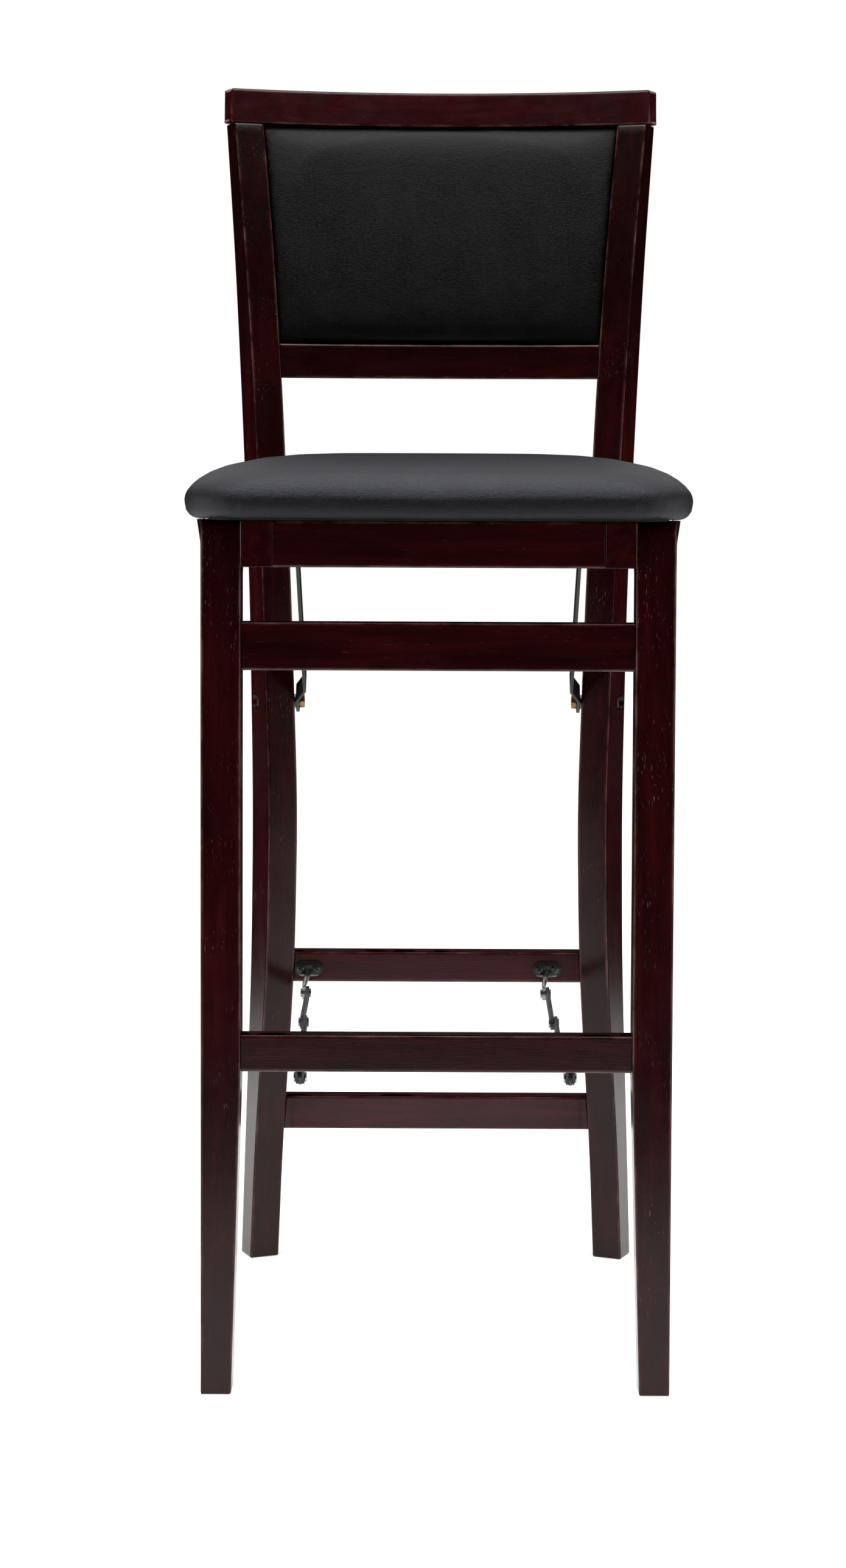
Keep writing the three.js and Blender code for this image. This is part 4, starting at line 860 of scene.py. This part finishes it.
def swell(made, frames, pressure, cap, voxel):
    """Fills a pad with pressed foam: remesh, let cloth swell under pressure, and cap each point's travel."""
    before = made.modifiers.new("even_mesh", "REMESH")
    before.mode = "VOXEL"
    before.voxel_size = voxel
    keep_modifiers(made)
    rest = at_vertices(made.data, "co")
    cloth = made.modifiers.new("cover", "CLOTH")
    cloth.settings.use_pressure = True
    cloth.settings.uniform_pressure_force = pressure
    cloth.settings.effector_weights.gravity = 0
    cloth.settings.tension_stiffness = 25
    cloth.settings.compression_stiffness = 25
    cloth.settings.bending_stiffness = 2
    scene = bpy.context.scene
    for step in range(1, frames + 1):
        scene.frame_set(step)
    keep_modifiers(made)
    scene.frame_set(1)
    travel = at_vertices(made.data, "co") - rest
    length = np.linalg.norm(travel, axis=1, keepdims=True)
    travel *= np.minimum(1, cap / np.maximum(length, 1e-9))
    made.data.vertices.foreach_set("co", (rest + travel).ravel())
    made.data.polygons.foreach_set("use_smooth", np.ones(len(made.data.polygons), bool))


def pad_outline(inset):
    """Rounded rectangle of the seat pad at an inset from its widest line, with tighter corners behind."""
    half = CUSHION_HALF_WIDTH - inset
    front = CUSHION_FRONT + inset
    back = CUSHION_FRONT + CUSHION_DEPTH - inset
    room = min(half, (back - front) / 2)
    turn = np.linspace(0, math.pi / 2, 18)
    parts = []
    for side, edge, wanted, quarter in (
            (1, back, CUSHION_REAR_RADIUS, 0), (-1, back, CUSHION_REAR_RADIUS, 1),
            (-1, front, CUSHION_FRONT_RADIUS, 2), (1, front, CUSHION_FRONT_RADIUS, 3)):
        radius = min(wanted, room * 0.98)
        angle = turn + quarter * math.pi / 2
        middle_y = edge - radius if edge == back else edge + radius
        parts.append(np.stack([side * (half - radius) + radius * np.cos(angle),
                               middle_y + radius * np.sin(angle)], axis=-1))
    return np.vstack(parts)


def make_seat_pad():
    """Seat pad: rings from the hollow over the board, out under the rim, up the full sides, over the crown.

    Each ring is the outline at an inset, at a rise above the seat frame.
    """
    base = SEAT_FRAME_TOP + GAP
    board_edge = CUSHION_HALF_WIDTH - BOARD_HALF_WIDTH
    hollow = SEAT_BOARD_THICKNESS + GAP
    under = [(150, hollow), (board_edge + 6, hollow), (board_edge - GAP, hollow - 1), (board_edge - 1.2, 4),
             (board_edge - 3, 0.6)]
    over = [(12.0, 0.2), (7.0, 1.4), (3.5, 4.0), (0.5, 8.5), (-1.5, 14.5), (1.5, 22.5), (8.5, 30.5),
            (19.5, 37.5), (34.0, 43.2), (56.0, 47.8), (88.0, 51.0), (122.0, 52.4), (160.0, 52.8)]
    rings = []
    for inset, rise in under + over:
        outline = pad_outline(inset)
        rings.append(np.column_stack([outline, np.full(len(outline), base + rise)]))
    mesh = mesh_from_rings("seat_pad_skin", in_frame(np.stack(rings)))
    made = piece("seat_pad", mesh, leatherette, "seat", ["seat_cushion"])
    swell(made, frames=18, pressure=3.0, cap=0.0016, voxel=0.005)
    settle_on_board(made)
    return made


def beyond_outline(points, low, high, radius):
    """How far points lie outside a rounded rectangle in plan; negative inside."""
    middle, half = (low + high) / 2, (high - low) / 2
    past = np.abs(points - middle)[:, :2] - (half[:2] - radius)
    return np.linalg.norm(np.maximum(past, 0), axis=1) + np.minimum(past.max(axis=1), 0) - radius


def settle_on_board(made):
    """Keeps the pad off its board and the seat frame, and draws its lower rim down to a crisp edge."""
    points, normals = at_vertices(made.data, "co"), at_vertices(made.data, "normal")
    low, high = (np.array(corner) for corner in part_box("seat_cushion"))
    inward = -beyond_outline(points, low, high, CUSHION_FRONT_RADIUS * 0.001) * 1000
    rim = low[2] + np.interp(inward, [0.5, 3.5, 7.0, 12.0], [8.5, 4.0, 1.4, 0.2]) * 0.001
    under = (normals[:, 2] < -0.25) & (points[:, 2] < low[2] + 0.012)
    points[:, 2] = np.where(under, np.minimum(points[:, 2], rim), points[:, 2])
    low, high = (np.array(corner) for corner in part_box("seat_board"))
    over_board = beyond_outline(points, low, high, CUSHION_FRONT_RADIUS / 2 * 0.001) < 0.0012
    points[:, 2] = np.maximum(points[:, 2], np.where(over_board, high[2] + 0.0004, low[2] + 0.0004))
    made.data.vertices.foreach_set("co", points.ravel())
    made.data.update()


def make_back_pad():
    """Back pad on the back's circle: a crowned front with rolled sides, and a flat rear against the board."""
    low = LOWER_RAIL_BASE + LOWER_RAIL_HEIGHT + GAP
    high = STILE_HEIGHT - GAP
    rear = BOARD_SETBACK - GAP
    across = np.sin(np.linspace(-1, 1, PAD_COLUMNS) * math.pi / 2)
    upright = np.sin(np.linspace(-1, 1, PAD_ROWS) * math.pi / 2)
    share, height = np.meshgrid(across, upright, indexing="ij")
    z_front = low + (high - low) * (height + 1) / 2
    bulge = ((1 - np.abs(share) ** 5) * (1 - np.abs(height) ** 7)) ** 0.5
    front = BACK_PAD_EDGE - (BACK_PAD_EDGE + BACK_PAD_CROWN) * bulge
    z_rear = low + (high - low) * np.array([1.0, 0.0])
    setback = np.hstack([front, np.full((PAD_COLUMNS, 2), rear)])
    z = np.hstack([z_front, np.tile(z_rear, (PAD_COLUMNS, 1))])
    shares = np.hstack([share, np.tile(across[:, None], (1, 2))])
    angle = shares * (angle_at_stile(z, setback) - GAP / BACK_RADIUS)
    mesh = mesh_from_rings("back_pad_skin", in_frame(back_point(angle, z, setback)))
    made = piece("back_pad", mesh, shaded_back_leatherette, "rear_frame", ["back_cushion"])
    swell(made, frames=14, pressure=2.0, cap=0.0015, voxel=0.003)
    return made


# Stage, light and camera
def seen_directly(tree):
    """One for rays that come from the camera, a reflection or a clear piece, and nothing for stray light."""
    path = add(tree, "LightPath")
    seen = add(tree, "Math", {0: path.outputs["Is Camera Ray"], 1: path.outputs["Is Glossy Ray"]},
               operation="MAXIMUM")
    return add(tree, "Math", {0: seen.outputs[0], 1: path.outputs["Is Transmission Ray"]},
               operation="MAXIMUM").outputs[0]


def make_stage():
    """Pale floor that keeps the stool's shadow, lifted to white where it is seen."""
    mesh = bpy.data.meshes.new("studio_floor")
    reach = 60.0
    mesh.from_pydata([(-reach, -reach, 0), (reach, -reach, 0), (reach, reach, 0), (-reach, reach, 0)], [],
                     [(0, 1, 2, 3)])
    floor = new_object("studio_floor", mesh)
    material, tree = new_material("white_sweep")
    seen = seen_directly(tree)
    paint = add(tree, "BsdfDiffuse", {"Color": colour("#f4f4f4")})
    glow = add(tree, "Emission", {"Color": (1, 1, 1, 1), "Strength": 0.5})
    both = add(tree, "AddShader", {0: paint.outputs[0], 1: glow.outputs[0]})
    shown = add(tree, "MixShader", {0: seen, 1: paint.outputs[0], 2: both.outputs[0]})
    finish_material(tree, shown)
    mesh.materials.append(material)


def make_world():
    """White room: full white where it is seen, softer where it only lights the stool."""
    world = bpy.data.worlds.new("studio")
    bpy.context.scene.world = world
    world.use_nodes = True
    tree = world.node_tree
    tree.nodes.clear()
    seen = seen_directly(tree)
    fill = add(tree, "Background", {"Color": (1, 1, 1, 1), "Strength": 0.55})
    shown = add(tree, "Background", {"Color": (1, 1, 1, 1), "Strength": 1.0})
    mixed = add(tree, "MixShader", {0: seen, 1: fill.outputs[0], 2: shown.outputs[0]})
    add(tree, "OutputWorld", {"Surface": mixed.outputs[0]})


def add_lamp(name, place, aim, size, power, mirrored=False):
    """Rectangular soft lamp turned to a place; only a mirrored one shows in reflections."""
    data = bpy.data.lights.new(name, "AREA")
    data.shape = "RECTANGLE"
    data.size, data.size_y = size
    data.energy = power
    lamp = new_object(name, data)
    lamp.location = place
    lamp.visible_glossy = mirrored
    lamp.rotation_euler = (Vector(aim) - Vector(place)).to_track_quat("-Z", "Y").to_euler()


def reflected_only(name, corners, material):
    """A flat card seen by reflections alone: it neither shows nor casts a shadow."""
    mesh = bpy.data.meshes.new(name)
    mesh.from_pydata(corners, [], [(0, 1, 2, 3)])
    mesh.materials.append(material)
    card = new_object(name, mesh)
    card.visible_camera = False
    card.visible_diffuse = False
    card.visible_shadow = False
    card.visible_transmission = False


def felt_with_openings(name, openings):
    """Black felt, thinned where soft-edged openings let the white room show through.

    Each opening is a centre and half size in two axes' letters, the width of its soft edge, and its strength.
    """
    material, tree = new_material(name)
    place = add(tree, "SeparateXYZ", {0: add(tree, "TexCoord").outputs["Object"]})
    cover = 1.0
    for axes, centre, half, soft, strength in openings:
        part = strength
        for axis, middle, reach in zip(axes, centre, half):
            off = add(tree, "Math", {0: place.outputs[axis], 1: middle}, operation="SUBTRACT")
            off = add(tree, "Math", {0: off.outputs[0]}, operation="ABSOLUTE")
            inside = add(tree, "MapRange", {"Value": off.outputs[0], "From Min": reach + soft,
                                            "From Max": reach})
            part = add(tree, "Math", {0: inside.outputs[0], 1: part}, operation="MULTIPLY").outputs[0]
        cover = add(tree, "Math", {0: cover, 1: part}, operation="SUBTRACT", use_clamp=True).outputs[0]
    shader = add(tree, "MixShader", {
        0: cover, 1: add(tree, "BsdfTransparent").outputs[0],
        2: add(tree, "BsdfDiffuse", {"Color": colour("#0c0c0c")}).outputs[0]})
    finish_material(tree, shader)
    return material


def make_flags():
    """Dark cards on all sides and the floor, so that lacquer stays deep, and lit silks beside the stool."""
    front, side, rear = -3.4, 3.3, 4.6
    plain = felt_with_openings("dark_felt_plain", [])
    walls = felt_with_openings("dark_felt_walls", [("YZ", (-2.6, 0.3), (1.2, 0.8), 0.3, 0.8)])
    silk, tree = new_material("lit_silk")
    finish_material(tree, add(tree, "Emission", {"Color": (1, 1, 1, 1), "Strength": 3.5}))
    for name, x in (("silk_left", 0.1 - side), ("silk_right", side - 0.1)):
        reflected_only(name, [(x, -1.5, 0.5), (x, 0.9, 0.5), (x, 0.9, 1.7), (x, -1.5, 1.7)], silk)
    for name, start, end, top in (("dark_card_front", (-side, front), (side, front), 4.6),
                                  ("dark_card_left", (-side, front), (-side, rear), 4.6),
                                  ("dark_card_right", (side, front), (side, rear), 4.6),
                                  ("dark_card_rear", (-side, rear), (side, rear), 2.3)):
        material = walls if start[0] == end[0] else plain
        reflected_only(name, [(*start, 0.02), (*end, 0.02), (*end, top), (*start, top)], material)
    ground = felt_with_openings("dark_felt_floor", [("XY", (0, -0.2), (4, 0.9), 0.6, 1.0),
                                                    ("XY", (-3.2, -2.0), (1.3, 1.4), 0.8, 1.0),
                                                    ("XY", (3.2, -2.0), (1.3, 1.4), 0.8, 1.0)])
    reflected_only("dark_card_floor", [(-side, front, 0.012), (side, front, 0.012), (side, rear, 0.012),
                                       (-side, rear, 0.012)], ground)


def make_camera():
    """Camera recovered from the stool's converging lines: a long lens that looks down a little."""
    tilt, roll = math.radians(83.5), math.radians(0.25)
    data = bpy.data.cameras.new("camera")
    data.lens = 72.1
    data.sensor_width = 36.0
    data.shift_x = -0.0093
    camera = new_object("camera", data)
    camera.location = (0.0, -2.891, 0.826)
    turn = Matrix.Rotation(tilt, 4, "X") @ Matrix.Rotation(roll, 4, "Z")
    camera.matrix_world = Matrix.Translation(camera.location) @ turn
    bpy.context.scene.camera = camera


bpy.context.scene.view_settings.view_transform = "Standard"
make_camera()
make_world()
make_stage()
make_flags()
add_lamp("soft_top", (0.0, -0.4, 2.9), (0, 0, 0.6), (2.4, 2.0), 70, True)
add_lamp("soft_left", (-2.3, -0.6, 1.1), (0, 0, 0.7), (1.4, 2.1), 48)
add_lamp("soft_right", (2.3, -0.6, 1.1), (0, 0, 0.7), (1.4, 2.1), 38)

dress_cad_nodes()
ease_solids()
make_wooden_pieces()
make_hardware()
make_seat_pad()
make_back_pad()
